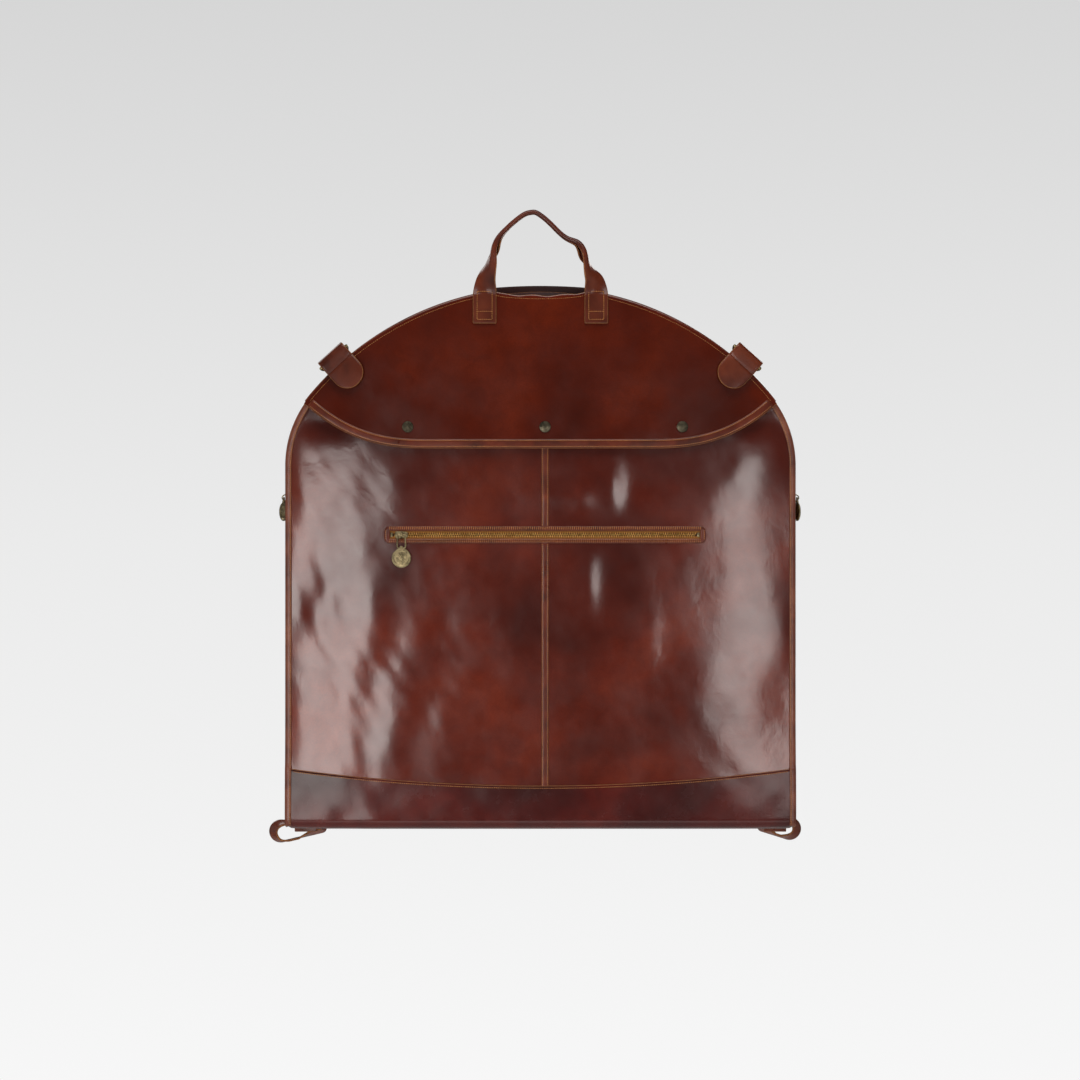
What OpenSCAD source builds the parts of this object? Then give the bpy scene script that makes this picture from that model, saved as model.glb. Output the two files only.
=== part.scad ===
// Folding leather garment bag, closed for carrying.
// The front half hangs from its hook opening; the rear half is folded up behind it.
// Inside this file z = 0 is the fold line and y = 0 the plane between the two halves;
// placed() then moves the origin to the middle of the hanger hook opening.

/* [Body] */
// Width of the bag
body_w = 560; // [540:1:580]
// Height of the front half, from the fold to the top of the arch
body_h = 594; // [585:1:605]
// Height of the rear half, from the fold to its hem
rear_h = 455; // [420:1:470]
// Depth of each half
half_d = 34; // [34:0.5:38]
// Radius of the arch's crown
crown_r = 328; // [320:1:340]
// Radius of the shoulders, where the arch meets the sides
shoulder_r = 120; // [110:1:125]
// Corner radius of the rear half's hem
hem_r = 60; // [45:1:75]
// Outer radius of the leather at the fold
fold_r = 18; // [14:0.5:20]

/* [Leather] */
// Thickness of the outer leather
leather_t = 2; // [1.8:0.1:2.2]
// Thickness of the inner walls
ply_t = 1.5; // [1:0.1:1.6]
// Thickness of strips sewn onto the outside
trim_t = 1.2; // [0.8:0.1:1.4]
// Width of the edge binding
binding_w = 7; // [5:0.5:9]
// Width of the strap leather
strap_w = 26; // [24:1:28]
// Thickness of the strap leather
strap_t = 2.4; // [2:0.1:2.8]

/* [Flap] */
// Height of the chord that the flap's lip bends about
flap_z = 466; // [460:1:472]
// Depth of the lip below the chord
flap_drop = 48; // [44:1:50]
// Half the width of the lip at the chord
flap_half_w = 257; // [250:1:258]
// Width of the lip's edge strip
flap_strip_w = 9.5; // [7:0.5:12]
// Distance between snap fasteners
snap_gap = 150; // [130:1:160]
// Height of the snap fasteners
snap_z = 441; // [438:1:444]

/* [Zips] */
// Sideways offset of the front seam, the pocket zip and the snaps
front_shift = 5; // [0:0.5:7]
// Length of the pocket zip
pocket_zip_l = 340; // [300:5:360]
// Height of the pocket zip
pocket_zip_z = 323; // [300:1:340]
// Height of the side zips' closed sliders
side_zip_z = 364; // [330:1:370]
// Length of the main zip in the inner wall
main_zip_l = 470; // [400:5:480]
// Radius of the zip pulls' medallions
medallion_r = 10; // [8:0.5:11]

/* [Handle and rings] */
// Distance between the handle's feet
handle_gap = 122; // [110:1:130]
// Height of the handle above the arch
handle_rise = 83; // [75:1:90]
// Radius of the grip's centreline
grip_r = 46; // [42:1:50]
// Direction of the ring tabs from the crown's centre, from +X
tab_angle = 48; // [44:1:52]
// Width of the ring tabs
tab_w = 32; // [28:1:32]
// Radius of the ring wire
ring_wire_r = 1.75; // [1.5:0.05:1.8]

/* [Hidden] */

oxblood = [0.36, 0.11, 0.06];
tan_edge = [0.50, 0.22, 0.12];
lining_brown = [0.24, 0.15, 0.10];
old_brass = [0.45, 0.38, 0.24];
zip_brass = [0.62, 0.44, 0.20];

half_w = body_w / 2;
seam_gap = 0.2;                                   // between pieces that are sewn edge to edge

// Arch outline: a crown arc with a shoulder arc tangent to it and to the side
shoulder_x = half_w - shoulder_r;
crown_z = body_h - crown_r;
shoulder_z = crown_z + sqrt(pow(crown_r - shoulder_r, 2) - pow(shoulder_x, 2));
join_a = atan2(shoulder_z - crown_z, shoulder_x);

// Depths, from the plane between the halves outwards
wall_in = 4.6;                                    // inner walls start here
wall_out = wall_in + ply_t;
lap_y = half_d + 2.2;                             // inner face of the yoke and the flap
yoke_y = lap_y + leather_t;                       // outer face of the yoke and the flap
pocket_wall_y = 21;                               // outer face of the pocket's back wall
pocket_floor_z = 40;
passage_z = 40;                                   // inner walls start here, so clothes pass below
wall_inset = 3.2;                                 // leaves room for the side zips' tapes
hook_y = -(wall_out + pocket_wall_y - ply_t) / 2; // middle of the hook opening, front to back
hook_half_w = 48;

// Zips: rows of teeth, with the tape's outer face at height 0 in the zip's own frame
row_in = 0.9;
row_out = 3;
row_top = 0.8;
row_bottom = -1.4;
tape_out = 8;
tape_t = 0.6;
slot_half = 4.5;
slider_l = 14;
pull_height = 5.6;                                // of the pull's top wire above the tape
wire_r = 0.8;
link_l = 14.6;
side_link_l = 5;
link_half_w = 4;

function arc(cx, cz, r, from, to, steps) =
  [for (i = [0:steps]) let (a = from + (to - from) * i / steps) [cx + r * cos(a), cz + r * sin(a)]];

function arch_outline(inset, foot) = concat(
  [[half_w - inset, foot]],
  arc(shoulder_x, shoulder_z, shoulder_r - inset, 0, join_a, 8),
  arc(0, crown_z, crown_r - inset, join_a, 180 - join_a, 32),
  arc(-shoulder_x, shoulder_z, shoulder_r - inset, 180 - join_a, 180, 8),
  [[inset - half_w, foot]]);

function rear_outline(inset, foot) = concat(
  [[half_w - inset, foot]],
  arc(half_w - hem_r, rear_h - hem_r, hem_r - inset, 0, 90, 8),
  arc(hem_r - half_w, rear_h - hem_r, hem_r - inset, 90, 180, 8),
  [[inset - half_w, foot]]);

// Lower edge of the flap's lip: level in the middle, curving up to the corners
lip_level = 120;
function lip_z(x) = flap_z - flap_drop *
  (1 - pow(max(0, abs(x) - lip_level) / (flap_half_w - lip_level), 2.6));
function lip_slope(x) = (lip_z(abs(x) + 0.5) - lip_z(abs(x) - 0.5));

// Mouth of the flap pocket, covered by the lip
function mouth_z(x) = max(flap_z - 14, min(flap_z + 2, lip_z(x) + 12));

// Top edge of the front bottom band, a shallow smile
function band_z(x) = 48 + 19 * pow(x / half_w, 2);

// A racetrack around two circles of radii r1 and r2, d apart
function belt(d, r1, r2) = let (b = acos((r1 - r2) / d))
  concat(arc(0, 0, r1, b, 360 - b, 14), arc(d, 0, r2, -b, b, 8));

// Inside of one half's section at the fold, y outwards and z up
function fold_section(skin, top) = concat(
  [[wall_out + 0.5, top], [wall_out + 0.5, side_zip_foot - 2], [0.3, side_zip_foot - 2],
    [0.3, skin + seam_gap]],
  arc(half_d - fold_r, fold_r, fold_r - skin - seam_gap, -90, 0, 6),
  [[half_d - skin - seam_gap, top]]);

module placed() {
  translate([0, -hook_y, -body_h]) children();
}

// A shape drawn in x and z, given depth from y0 to y1
module slab(y0, y1) {
  translate([0, y1, 0]) rotate([90, 0, 0]) linear_extrude(y1 - y0) children();
}

// A shape drawn in y and z, given width from x0 to x1
module strake(x0, x1) {
  translate([x0, 0, 0]) rotate([90, 0, 90]) linear_extrude(x1 - x0) children();
}

module window(x0, x1, z0, z1) {
  translate([x0, z0]) square([x1 - x0, z1 - z0]);
}

// ---- front half: panels ----

module front_panel_shape() {
  steps = 40;
  difference() {
    intersection() {
      polygon(arch_outline(binding_w + seam_gap, 0));
      polygon(concat(
        [[half_w, pocket_floor_z + 2]],
        [for (i = [0:steps]) let (x = half_w * (1 - 2 * i / steps)) [x, mouth_z(min(abs(x), flap_half_w))]],
        [[-half_w, pocket_floor_z + 2]]));
    }
    translate([front_shift, pocket_zip_z])
      square([pocket_zip_l, 2 * slot_half], center = true);
  }
}

module front_panel(x0, x1) {
  placed() color(oxblood)
    slab(-half_d, leather_t - half_d)
      intersection() {
        front_panel_shape();
        window(x0, x1, 0, body_h);
      }
}

module front_panel_left() {
  front_panel(-half_w, front_shift - seam_gap / 2);
}

module front_panel_right() {
  front_panel(front_shift + seam_gap / 2, half_w);
}

// Strip over the centre seam, in two lengths that stop at the pocket zip's welt
module front_seam_strip() {
  strip_w = 9;
  welt_half = 9.5;
  placed() color(tan_edge)
    slab(-half_d - trim_t, -half_d)
      translate([front_shift - strip_w / 2, 0]) {
        window(0, strip_w, band_z(0) + seam_gap, pocket_zip_z - welt_half);
        window(0, strip_w, pocket_zip_z + welt_half, snap_z - snap_r - 2);
      }
}

module fold_band_section(outer, skin, top) {
  polygon(concat(
    [[seam_gap, 0]], arc(outer - fold_r, fold_r, fold_r, -90, 0, 8), [[outer, top]],
    [[outer - skin, top]], arc(outer - fold_r, fold_r, fold_r - skin, 0, -90, 8), [[seam_gap, skin]]));
}

// Full width where it turns under the bag, and inside the bindings above that
band_half = half_w - binding_w - seam_gap;
band_foot_half = half_w - leather_t - seam_gap;
module bottom_band_front() {
  steps = 24;
  placed() color(oxblood)
    intersection() {
      mirror([0, 1, 0]) strake(-band_foot_half, band_foot_half)
        fold_band_section(half_d + 2, leather_t - seam_gap, 80);
      slab(-half_d - 3, 0)
        polygon(concat(
          [[band_foot_half, -1], [band_foot_half, fold_r]],
          [[band_half, fold_r]],
          [for (i = [0:steps]) let (x = band_half * (1 - 2 * i / steps)) [x, band_z(x)]],
          [[-band_half, fold_r], [-band_foot_half, fold_r], [-band_foot_half, -1]]));
    }
}

module front_ring(inset_out, inset_in) {
  difference() {
    polygon(arch_outline(inset_out, 0));
    polygon(arch_outline(inset_in, -1));
  }
}

module edge_binding(x0, x1) {
  placed() color(tan_edge)
    slab(-half_d - 1.4, leather_t - half_d - seam_gap)
      intersection() {
        front_ring(0, binding_w);
        window(x0, x1, fold_r + seam_gap, flap_z + 2);
      }
}

module edge_binding_left() {
  edge_binding(-half_w, 0);
}

module edge_binding_right() {
  edge_binding(0, half_w);
}

// Piping between the yoke and the gussets, open at the hook opening
module arch_binding() {
  placed() color(tan_edge)
    slab(-lap_y, leather_t - half_d - seam_gap)
      difference() {
        front_ring(-0.8, 4);
        window(-half_w - 2, half_w + 2, -1, flap_z + 2.2);
        window(-hook_half_w, hook_half_w, flap_z, body_h + 2);
      }
}

// Notch in the arch's edge in front of the hook opening
module hook_dip(depth) {
  dip_half = 42;
  translate([0, body_h])
    polygon([for (i = [-12:12]) [dip_half * i / 12, abs(i) == 12 ? 1 : -depth * pow(cos(7.5 * i), 0.6)]]);
}

// Upper front panel; its top edge dips at the hook opening
module yoke() {
  placed() color(oxblood)
    slab(-yoke_y, -lap_y)
      difference() {
        intersection() {
          polygon(arch_outline(0, 0));
          window(-half_w, half_w, flap_z + 0.5, body_h + 1);
        }
        hook_dip(9);
      }
}

module gusset(x0, x1) {
  placed() color(oxblood)
    intersection() {
      slab(-half_d + leather_t, -wall_out - 0.5)
        intersection() {
          front_ring(0, leather_t);
          window(x0, x1, 2, body_h);
        }
      mirror([0, 1, 0]) strake(-half_w - 1, half_w + 1)
        polygon(fold_section(leather_t, body_h + 1));
    }
}

module gusset_left() {
  gusset(-half_w, -hook_half_w);
}

module gusset_right() {
  gusset(hook_half_w, half_w);
}

// Wall between the flap pocket and the clothes, with the pocket's floor as a second piece
module pocket_back_wall() {
  placed() color(lining_brown) {
    slab(-pocket_wall_y, ply_t - pocket_wall_y)
      difference() {
        polygon(arch_outline(leather_t + seam_gap, pocket_floor_z));
        hook_dip(15);
      }
    slab(leather_t - half_d, -pocket_wall_y - seam_gap)
      window(-half_w + 3, half_w - 3, pocket_floor_z, pocket_floor_z + ply_t);
  }
}

// Wall that faces the rear half, slotted for the main zip
module inner_wall_front() {
  placed() color(oxblood)
    slab(-wall_out, -wall_in)
      difference() {
        polygon(arch_outline(wall_inset, passage_z));
        window(-slot_half, slot_half, main_zip_foot, main_zip_foot + main_zip_l);
      }
}

// ---- snap fasteners ----

snap_r = 5;                                       // of the stud's base and the socket
module at_snaps() {
  for (i = [-1:1]) translate([front_shift + i * snap_gap, 0, snap_z]) rotate([90, 0, 0]) children();
}

module snap_studs() {
  placed() color(old_brass)
    at_snaps() translate([0, 0, half_d]) {
      cylinder(r = snap_r, h = 0.4, $fn = 48);
      cylinder(r = 2.2, h = 1.6, $fn = 48);
    }
}

module snap_sockets() {
  placed() color(old_brass)
    at_snaps() translate([0, 0, half_d + 0.7])
      difference() {
        cylinder(r = snap_r, h = 1.5, $fn = 48);
        translate([0, 0, -1]) cylinder(r = 2.7, h = 3, $fn = 48);
      }
}

// Domed cap: a flat rim with a shallow crown inside it
module snap_caps() {
  cap_r = 6.2;
  placed() color(old_brass)
    at_snaps() translate([0, 0, yoke_y])
      rotate_extrude($fn = 64)
        polygon([[0, 0], [cap_r, 0], [cap_r, 0.8], [cap_r - 0.5, 1.3], [cap_r - 1.2, 1.5],
          [3.5, 1.9], [1.8, 2.2], [0, 2.3]]);
}

// ---- flap lip ----

module lip_shape(rise) {
  steps = 36;
  polygon(concat(
    [for (i = [0:steps]) let (x = flap_half_w * (1 - 2 * i / steps)) [x, lip_z(x)]],
    rise > 0
      ? [for (i = [0:steps]) let (x = flap_half_w * (2 * i / steps - 1))
          [x, min(flap_z - 0.5, lip_z(x) + rise * sqrt(1 + pow(lip_slope(x), 2)))]]
      : [[-flap_half_w, flap_z - 0.5], [flap_half_w, flap_z - 0.5]]));
}

module flap_lip() {
  placed() color(oxblood)
    slab(-yoke_y, -lap_y)
      intersection() {
        lip_shape(0);
        window(3 - flap_half_w, flap_half_w - 3, 0, flap_z - 0.5);
      }
}

module flap_edge_strip() {
  placed() color(tan_edge)
    slab(-yoke_y - trim_t, -yoke_y)
      intersection() {
        lip_shape(flap_strip_w);
        window(10 - flap_half_w, flap_half_w - 10, 0, flap_z - 0.5);
      }
}

// ---- zips, drawn along x with their outer face towards +z ----

module zip_rows(length) {
  for (side = [-1, 1])
    translate([-length / 2, side > 0 ? row_in : -row_out, row_bottom])
      cube([length, row_out - row_in, row_top - row_bottom]);
}

module zip_tape(length, side) {
  translate([-length / 2, side > 0 ? row_out + 0.05 : -tape_out, -tape_t])
    cube([length, tape_out - row_out - 0.05, tape_t]);
}

// Two plates joined by a wedge between the rows, and a bail over the top plate.
// turn is 0 where the pull hangs across the zip and 90 where it hangs along it.
module zip_slider(turn) {
  plate_w = 8.2;
  plate_t = 1.2;
  bail_r = 2.2;
  for (z = [row_bottom - 0.4 - plate_t, row_top + 0.4])
    translate([-slider_l / 2, -plate_w / 2, z]) cube([slider_l, plate_w, plate_t]);
  translate([-slider_l / 2, -0.55, row_bottom - 0.5]) cube([4, 1.1, row_top - row_bottom + 1]);
  rotate([0, 0, turn]) difference() {
    union() {
      translate([-1.5, 0, pull_height]) rotate([0, 90, 0]) cylinder(r = bail_r, h = 3, $fn = 48);
      translate([-1.5, -bail_r, row_top + 0.4 + plate_t - 0.1])
        cube([3, 2 * bail_r, pull_height - row_top - 0.3 - plate_t]);
    }
    translate([-5, 0, pull_height]) rotate([0, 90, 0]) cylinder(r = wire_r + 0.3, h = 10, $fn = 48);
  }
}

module rod(from, to, r) {
  v = to - from;
  translate(from)
    rotate([0, acos(v.z / norm(v)), atan2(v.y, v.x)]) cylinder(r = r, h = norm(v), $fn = 32);
}

// Wire link and medallion, hanging towards -y from a top wire that lies along x at the origin
module zip_pull(drop) {
  corners = [[-link_half_w, 0, 0], [link_half_w, 0, 0], [link_half_w, -drop, 0], [-link_half_w, -drop, 0]];
  union() {
    for (i = [0:3]) {
      rod(corners[i], corners[(i + 1) % 4], wire_r);
      translate(corners[i]) sphere(r = wire_r, $fn = 32);
    }
  }
  eye_r = wire_r + 0.35;
  disc_y = -drop - medallion_r - 0.4;
  difference() {
    union() {
      translate([0, disc_y, -0.8]) cylinder(r = medallion_r, h = 1.6, $fn = 64);
      translate([-2, -drop, 0]) rotate([0, 90, 0]) cylinder(r = eye_r + 0.9, h = 4, $fn = 32);
    }
    translate([-3, -drop, 0]) rotate([0, 90, 0]) cylinder(r = eye_r, h = 6, $fn = 32);
    translate([0, disc_y, 0.5]) cylinder(r = medallion_r - 1.4, h = 1, $fn = 64);
  }
}

// ---- pocket zip ----

pocket_tape_y = half_d - leather_t + 0.1 - seam_gap;
module at_pocket_zip() {
  placed() translate([front_shift, -pocket_tape_y, pocket_zip_z]) rotate([90, 0, 0]) children();
}

module pocket_zip_welt() {
  welt_h = 18.6;
  welt_l = pocket_zip_l + 12;
  placed() color(oxblood)
    slab(-half_d - trim_t, -half_d)
      translate([front_shift, pocket_zip_z])
        difference() {
          union() {
            square([welt_l - 8, welt_h], center = true);
            square([welt_l, welt_h - 8], center = true);
            for (sx = [-1, 1], sz = [-1, 1])
              translate([sx * (welt_l / 2 - 4), sz * (welt_h / 2 - 4)]) circle(r = 4, $fn = 32);
          }
          square([pocket_zip_l, 2 * slot_half], center = true);
        }
}

module pocket_zip_tapes() {
  at_pocket_zip() color(lining_brown)
    for (side = [-1, 1]) zip_tape(pocket_zip_l + 8, side);
}

module pocket_zip_chain() {
  at_pocket_zip() color(zip_brass) zip_rows(pocket_zip_l - 8);
}

module pocket_zip_stops() {
  at_pocket_zip() color(old_brass)
    for (side = [-1, 1])
      translate([side * (pocket_zip_l / 2 - 2) - 1.5, -2.5, row_bottom]) cube([3, 5, row_top - row_bottom]);
}

pocket_slider_x = -(pocket_zip_l - 8) / 2 + slider_l / 2 + 2;
module pocket_zip_slider() {
  at_pocket_zip() color(old_brass) translate([pocket_slider_x, 0, 0]) zip_slider(0);
}

module pocket_zip_pull() {
  at_pocket_zip() color(old_brass) translate([pocket_slider_x, 0, pull_height]) zip_pull(link_l);
}

// Tray of lining behind the pocket zip: a back sheet with edges that reach the panel
module zip_pocket_pouch() {
  pouch_half = pocket_zip_l / 2 + 6;
  pouch_top = pocket_zip_z + 14;
  pouch_foot = pocket_zip_z - 190;
  back_y = 27.8;
  placed() color(lining_brown)
    difference() {
      slab(leather_t - half_d + seam_gap, -back_y)
        translate([front_shift, 0]) window(-pouch_half, pouch_half, pouch_foot, pouch_top);
      slab(leather_t - half_d - 1, -back_y - tape_t)
        translate([front_shift, 0])
          window(-pouch_half + tape_t, pouch_half - tape_t, pouch_foot + tape_t, pouch_top - tape_t);
      slab(leather_t - half_d - 1, leather_t - half_d + 1.2)
        translate([front_shift, 0])
          window(-pouch_half - 1, pouch_half + 1, pocket_zip_z - 9, pocket_zip_z + 9);
    }
}

// ---- main zip, in the inner wall ----

main_zip_foot = 70;
module at_main_zip() {
  placed() translate([0, -wall_out - 0.1, main_zip_foot + main_zip_l / 2])
    rotate([0, 0, 180]) rotate([90, 0, 0]) rotate([0, 0, 90]) children();
}

module main_zip_tapes() {
  at_main_zip() color(lining_brown)
    for (side = [-1, 1]) zip_tape(main_zip_l + 8, side);
}

module main_zip_chain() {
  at_main_zip() color(zip_brass) zip_rows(main_zip_l - 4);
}

main_slider_x = main_zip_l / 2 - slider_l / 2 - 3;
module main_zip_slider() {
  at_main_zip() color(old_brass) translate([main_slider_x, 0, 0]) rotate([0, 0, 180]) zip_slider(90);
}

module main_zip_pull() {
  at_main_zip() color(old_brass) translate([main_slider_x, 0, pull_height]) rotate([0, 0, -90]) zip_pull(link_l);
}

// ---- side zips, which join the halves' gussets; side is -1 on the left and 1 on the right ----

side_zip_foot = 36;
side_zip_top = side_zip_z + slider_l / 2 + 3;
side_zip_x = half_w - leather_t - 0.1;
module at_side_zip(side) {
  placed() translate([side * side_zip_x, 0, 0])
    rotate([0, 0, side > 0 ? 90 : -90]) rotate([90, 0, 0]) rotate([0, 0, 90]) children();
}

// One row and its tape. The zip's own +y is the bag's rear on the left and its front on the right.
module side_zip_half(side, is_front) {
  row = (is_front ? 1 : -1) * side;
  length = side_zip_top - side_zip_foot;
  at_side_zip(side) translate([side_zip_foot + length / 2, 0, 0]) {
    color(lining_brown) zip_tape(length, row);
    color(zip_brass) translate([-length / 2, row > 0 ? row_in : -row_out, row_bottom])
      cube([length, row_out - row_in, row_top - row_bottom]);
  }
}

module side_zip_front_left() {
  side_zip_half(-1, true);
}

module side_zip_front_right() {
  side_zip_half(1, true);
}

module side_zip_rear_left() {
  side_zip_half(-1, false);
}

module side_zip_rear_right() {
  side_zip_half(1, false);
}

module side_zip_slider(side) {
  at_side_zip(side) color(old_brass) translate([side_zip_z, 0, 0]) rotate([0, 0, 180]) zip_slider(90);
}

module side_zip_slider_left() {
  side_zip_slider(-1);
}

module side_zip_slider_right() {
  side_zip_slider(1);
}

module side_zip_pull(side) {
  at_side_zip(side) color(old_brass)
    translate([side_zip_z, 0, pull_height]) rotate([0, 0, -90]) zip_pull(side_link_l);
}

module side_zip_pull_left() {
  side_zip_pull(-1);
}

module side_zip_pull_right() {
  side_zip_pull(1);
}

// ---- handle ----

foot_l = 35;
foot_gap = 2.1;                                   // from the handle's axis down to the feet
handle_axis_z = body_h - 2;
grip_z = body_h + handle_rise - 4 - grip_r;
grip_from = 27;                                   // angle above level where the grip starts
grip_half_h = 4;
grip_half_d = 7;
grip_bore_r = 2.6;
core_r = 2.2;

module handle_foot(x) {
  placed() color(oxblood)
    slab(-yoke_y - strap_t, -yoke_y)
      translate([x - strap_w / 2, handle_axis_z - foot_gap - foot_l]) square([strap_w, foot_l]);
}

module handle_foot_left() {
  handle_foot(-handle_gap / 2);
}

module handle_foot_right() {
  handle_foot(handle_gap / 2);
}

function oval(a, b, steps) = [for (i = [0:steps - 1]) let (t = 360 * i / steps) [a * cos(t), b * sin(t)]];

// Two flat legs, rounded where they bend at the feet, that fold into one round grip
module handle_strap() {
  neck = [grip_r * cos(grip_from), grip_z + grip_r * sin(grip_from)];
  mid_y = -yoke_y - strap_t / 2;
  placed() color(oxblood) {
    for (side = [-1, 1])
      hull() {
        translate([side * handle_gap / 2 - strap_w / 2, mid_y, handle_axis_z])
          rotate([0, 90, 0]) cylinder(r = strap_t / 2, h = strap_w, $fn = 48);
        translate([side * neck.x, mid_y, neck.y])
          rotate([0, -side * grip_from, 0])
            translate([0.5 - grip_half_h, 2 - grip_half_d, -1.2])
              cube([2 * grip_half_h - 1, 2 * grip_half_d - 4, 1]);
      }
    translate([0, mid_y, grip_z]) rotate([90, 0, 0]) rotate([0, 0, grip_from])
      rotate_extrude(angle = 180 - 2 * grip_from, $fn = 96) translate([grip_r, 0])
        difference() {
          polygon(oval(grip_half_h, grip_half_d, 20));
          circle(r = grip_bore_r, $fn = 32);
        }
  }
}

module handle_core() {
  placed() color("tan")
    translate([0, -yoke_y - strap_t / 2, grip_z]) rotate([90, 0, 0]) rotate([0, 0, grip_from + 2])
      rotate_extrude(angle = 176 - 2 * grip_from, $fn = 96) translate([grip_r, 0]) circle(r = core_r, $fn = 32);
}

// ---- ring tabs and rings; the tab's own x runs outwards across the arch's edge ----

tab_reach = 14;                                   // beyond the arch's edge
tab_fold_r = 4;
ring_bar_x = tab_reach - tab_fold_r;
ring_y = yoke_y - tab_fold_r + leather_t;
ring_r = 18.5;
ring_rest = 110;                                  // ring's lean behind the bag, from straight out

module at_tab(side) {
  placed() translate([0, 0, crown_z]) rotate([0, -(90 - side * (90 - tab_angle)), 0])
    translate([crown_r, 0, 0]) children();
}

// Strap with a round end on the yoke, folded round the ring's bar and back to the arch's edge
module ring_tab(side) {
  tip = 28;
  at_tab(side) color(oxblood) {
    difference() {
      union() {
        slab(-yoke_y - leather_t, -yoke_y)
          union() {
            translate([tab_w / 2 - tip, -tab_w / 2]) square([tip - tab_w / 2 + ring_bar_x, tab_w]);
            translate([tab_w / 2 - tip, 0]) circle(r = tab_w / 2, $fn = 64);
          }
        intersection() {
          translate([ring_bar_x, -ring_y, -tab_w / 2]) cylinder(r = tab_fold_r, h = tab_w, $fn = 64);
          translate([ring_bar_x, -ring_y - 5, -tab_w / 2]) cube([5, 10, tab_w]);
        }
        translate([2, -ring_y + tab_fold_r - leather_t, -tab_w / 2])
          cube([ring_bar_x - 2, leather_t, tab_w]);
      }
      translate([ring_bar_x, -ring_y, -tab_w]) cylinder(r = tab_fold_r - leather_t, h = 2 * tab_w, $fn = 64);
    }
  }
}

module ring_tab_left() {
  ring_tab(-1);
}

module ring_tab_right() {
  ring_tab(1);
}

// D-ring: a straight bar in the tab's fold and a half circle
module d_ring(side) {
  at_tab(side) color(old_brass)
    translate([ring_bar_x, -ring_y, 0]) rotate([0, 0, ring_rest]) {
      union() {
        translate([0, 0, -ring_r]) cylinder(r = ring_wire_r, h = 2 * ring_r, $fn = 32);
        for (end = [-1, 1]) translate([0, 0, end * ring_r]) sphere(r = ring_wire_r, $fn = 32);
        rotate([90, 0, 0]) rotate([0, 0, -90]) rotate_extrude(angle = 180, $fn = 96)
          translate([ring_r, 0]) circle(r = ring_wire_r, $fn = 32);
      }
    }
}

module ring_left() {
  d_ring(-1);
}

module ring_right() {
  d_ring(1);
}

// ---- rear half ----

module rear_panel() {
  placed() color(oxblood)
    slab(half_d - leather_t, half_d)
      polygon(rear_outline(binding_w + seam_gap, 60 + seam_gap));
}

module rear_inner_wall() {
  placed() color(lining_brown)
    slab(wall_in, wall_out) polygon(rear_outline(wall_inset, passage_z));
}

module bottom_band_rear() {
  placed() color(oxblood)
    intersection() {
      strake(-band_foot_half, band_foot_half) fold_band_section(half_d, leather_t, 60);
      slab(0, half_d + 1) {
        window(-band_foot_half, band_foot_half, -1, fold_r);
        window(-band_half, band_half, -1, 61);
      }
    }
}

module rear_ring(inset) {
  difference() {
    polygon(rear_outline(0, 0));
    polygon(rear_outline(inset, -1));
  }
}

module rear_binding() {
  placed() color(tan_edge)
    slab(half_d - leather_t - 1.8, half_d)
      intersection() {
        rear_ring(binding_w);
        window(-half_w, half_w, fold_r + seam_gap, rear_h);
      }
}

module rear_gusset(x0, x1, z0) {
  placed() color(oxblood)
    intersection() {
      slab(wall_out + 0.5, half_d - leather_t - 2)
        intersection() {
          rear_ring(leather_t);
          window(x0, x1, z0, rear_h);
        }
      strake(-half_w - 1, half_w + 1) polygon(fold_section(leather_t, body_h));
    }
}

module rear_gusset_left() {
  rear_gusset(-half_w, hem_r - half_w - seam_gap, 2);
}

module rear_gusset_right() {
  rear_gusset(half_w - hem_r + seam_gap, half_w, 2);
}

module rear_gusset_top() {
  rear_gusset(hem_r - half_w, half_w - hem_r, passage_z);
}

// ---- strap loops at the fold's corners, behind the rear half ----

loop_t = 2.4;
loop_deep = 13;
loop_y = half_d + leather_t + 2 * seam_gap;
loop_tab_x = 262;
loop_tab_w = 24;
loop_tab_foot = -8;                               // short enough to clear the front band when the bag lies open
loop_tab_l = 46;
loop_rivet_z = 26;

module corner_loop(side, x, z, d, r1, r2, slope) {
  placed() color(oxblood)
    slab(loop_y, loop_y + loop_deep)
      translate([side * x, z]) rotate(side > 0 ? 180 - slope : slope)
        difference() {
          polygon(belt(d, r1, r2));
          polygon(belt(d, r1 - loop_t, r2 - loop_t));
        }
}

module corner_loop_left() {
  corner_loop(-1, 291, -9, 46, 13, 5.5, 4);
}

module corner_loop_right() {
  corner_loop(1, 279, -6, 30, 13, 6, 4);
}

module loop_tab(side) {
  placed() color(oxblood)
    slab(half_d + seam_gap, half_d + seam_gap + leather_t)
      translate([side * loop_tab_x - loop_tab_w / 2, loop_tab_foot]) square([loop_tab_w, loop_tab_l]);
}

module loop_tab_left() {
  loop_tab(-1);
}

module loop_tab_right() {
  loop_tab(1);
}

// Rivets that close the straps' ends, one on each tab
module loop_rivets() {
  placed() color(old_brass)
    for (side = [-1, 1])
      translate([side * loop_tab_x, half_d + seam_gap + leather_t, loop_rivet_z]) rotate([-90, 0, 0])
        cylinder(r = 4, h = 1.5, $fn = 48);
}

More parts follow.
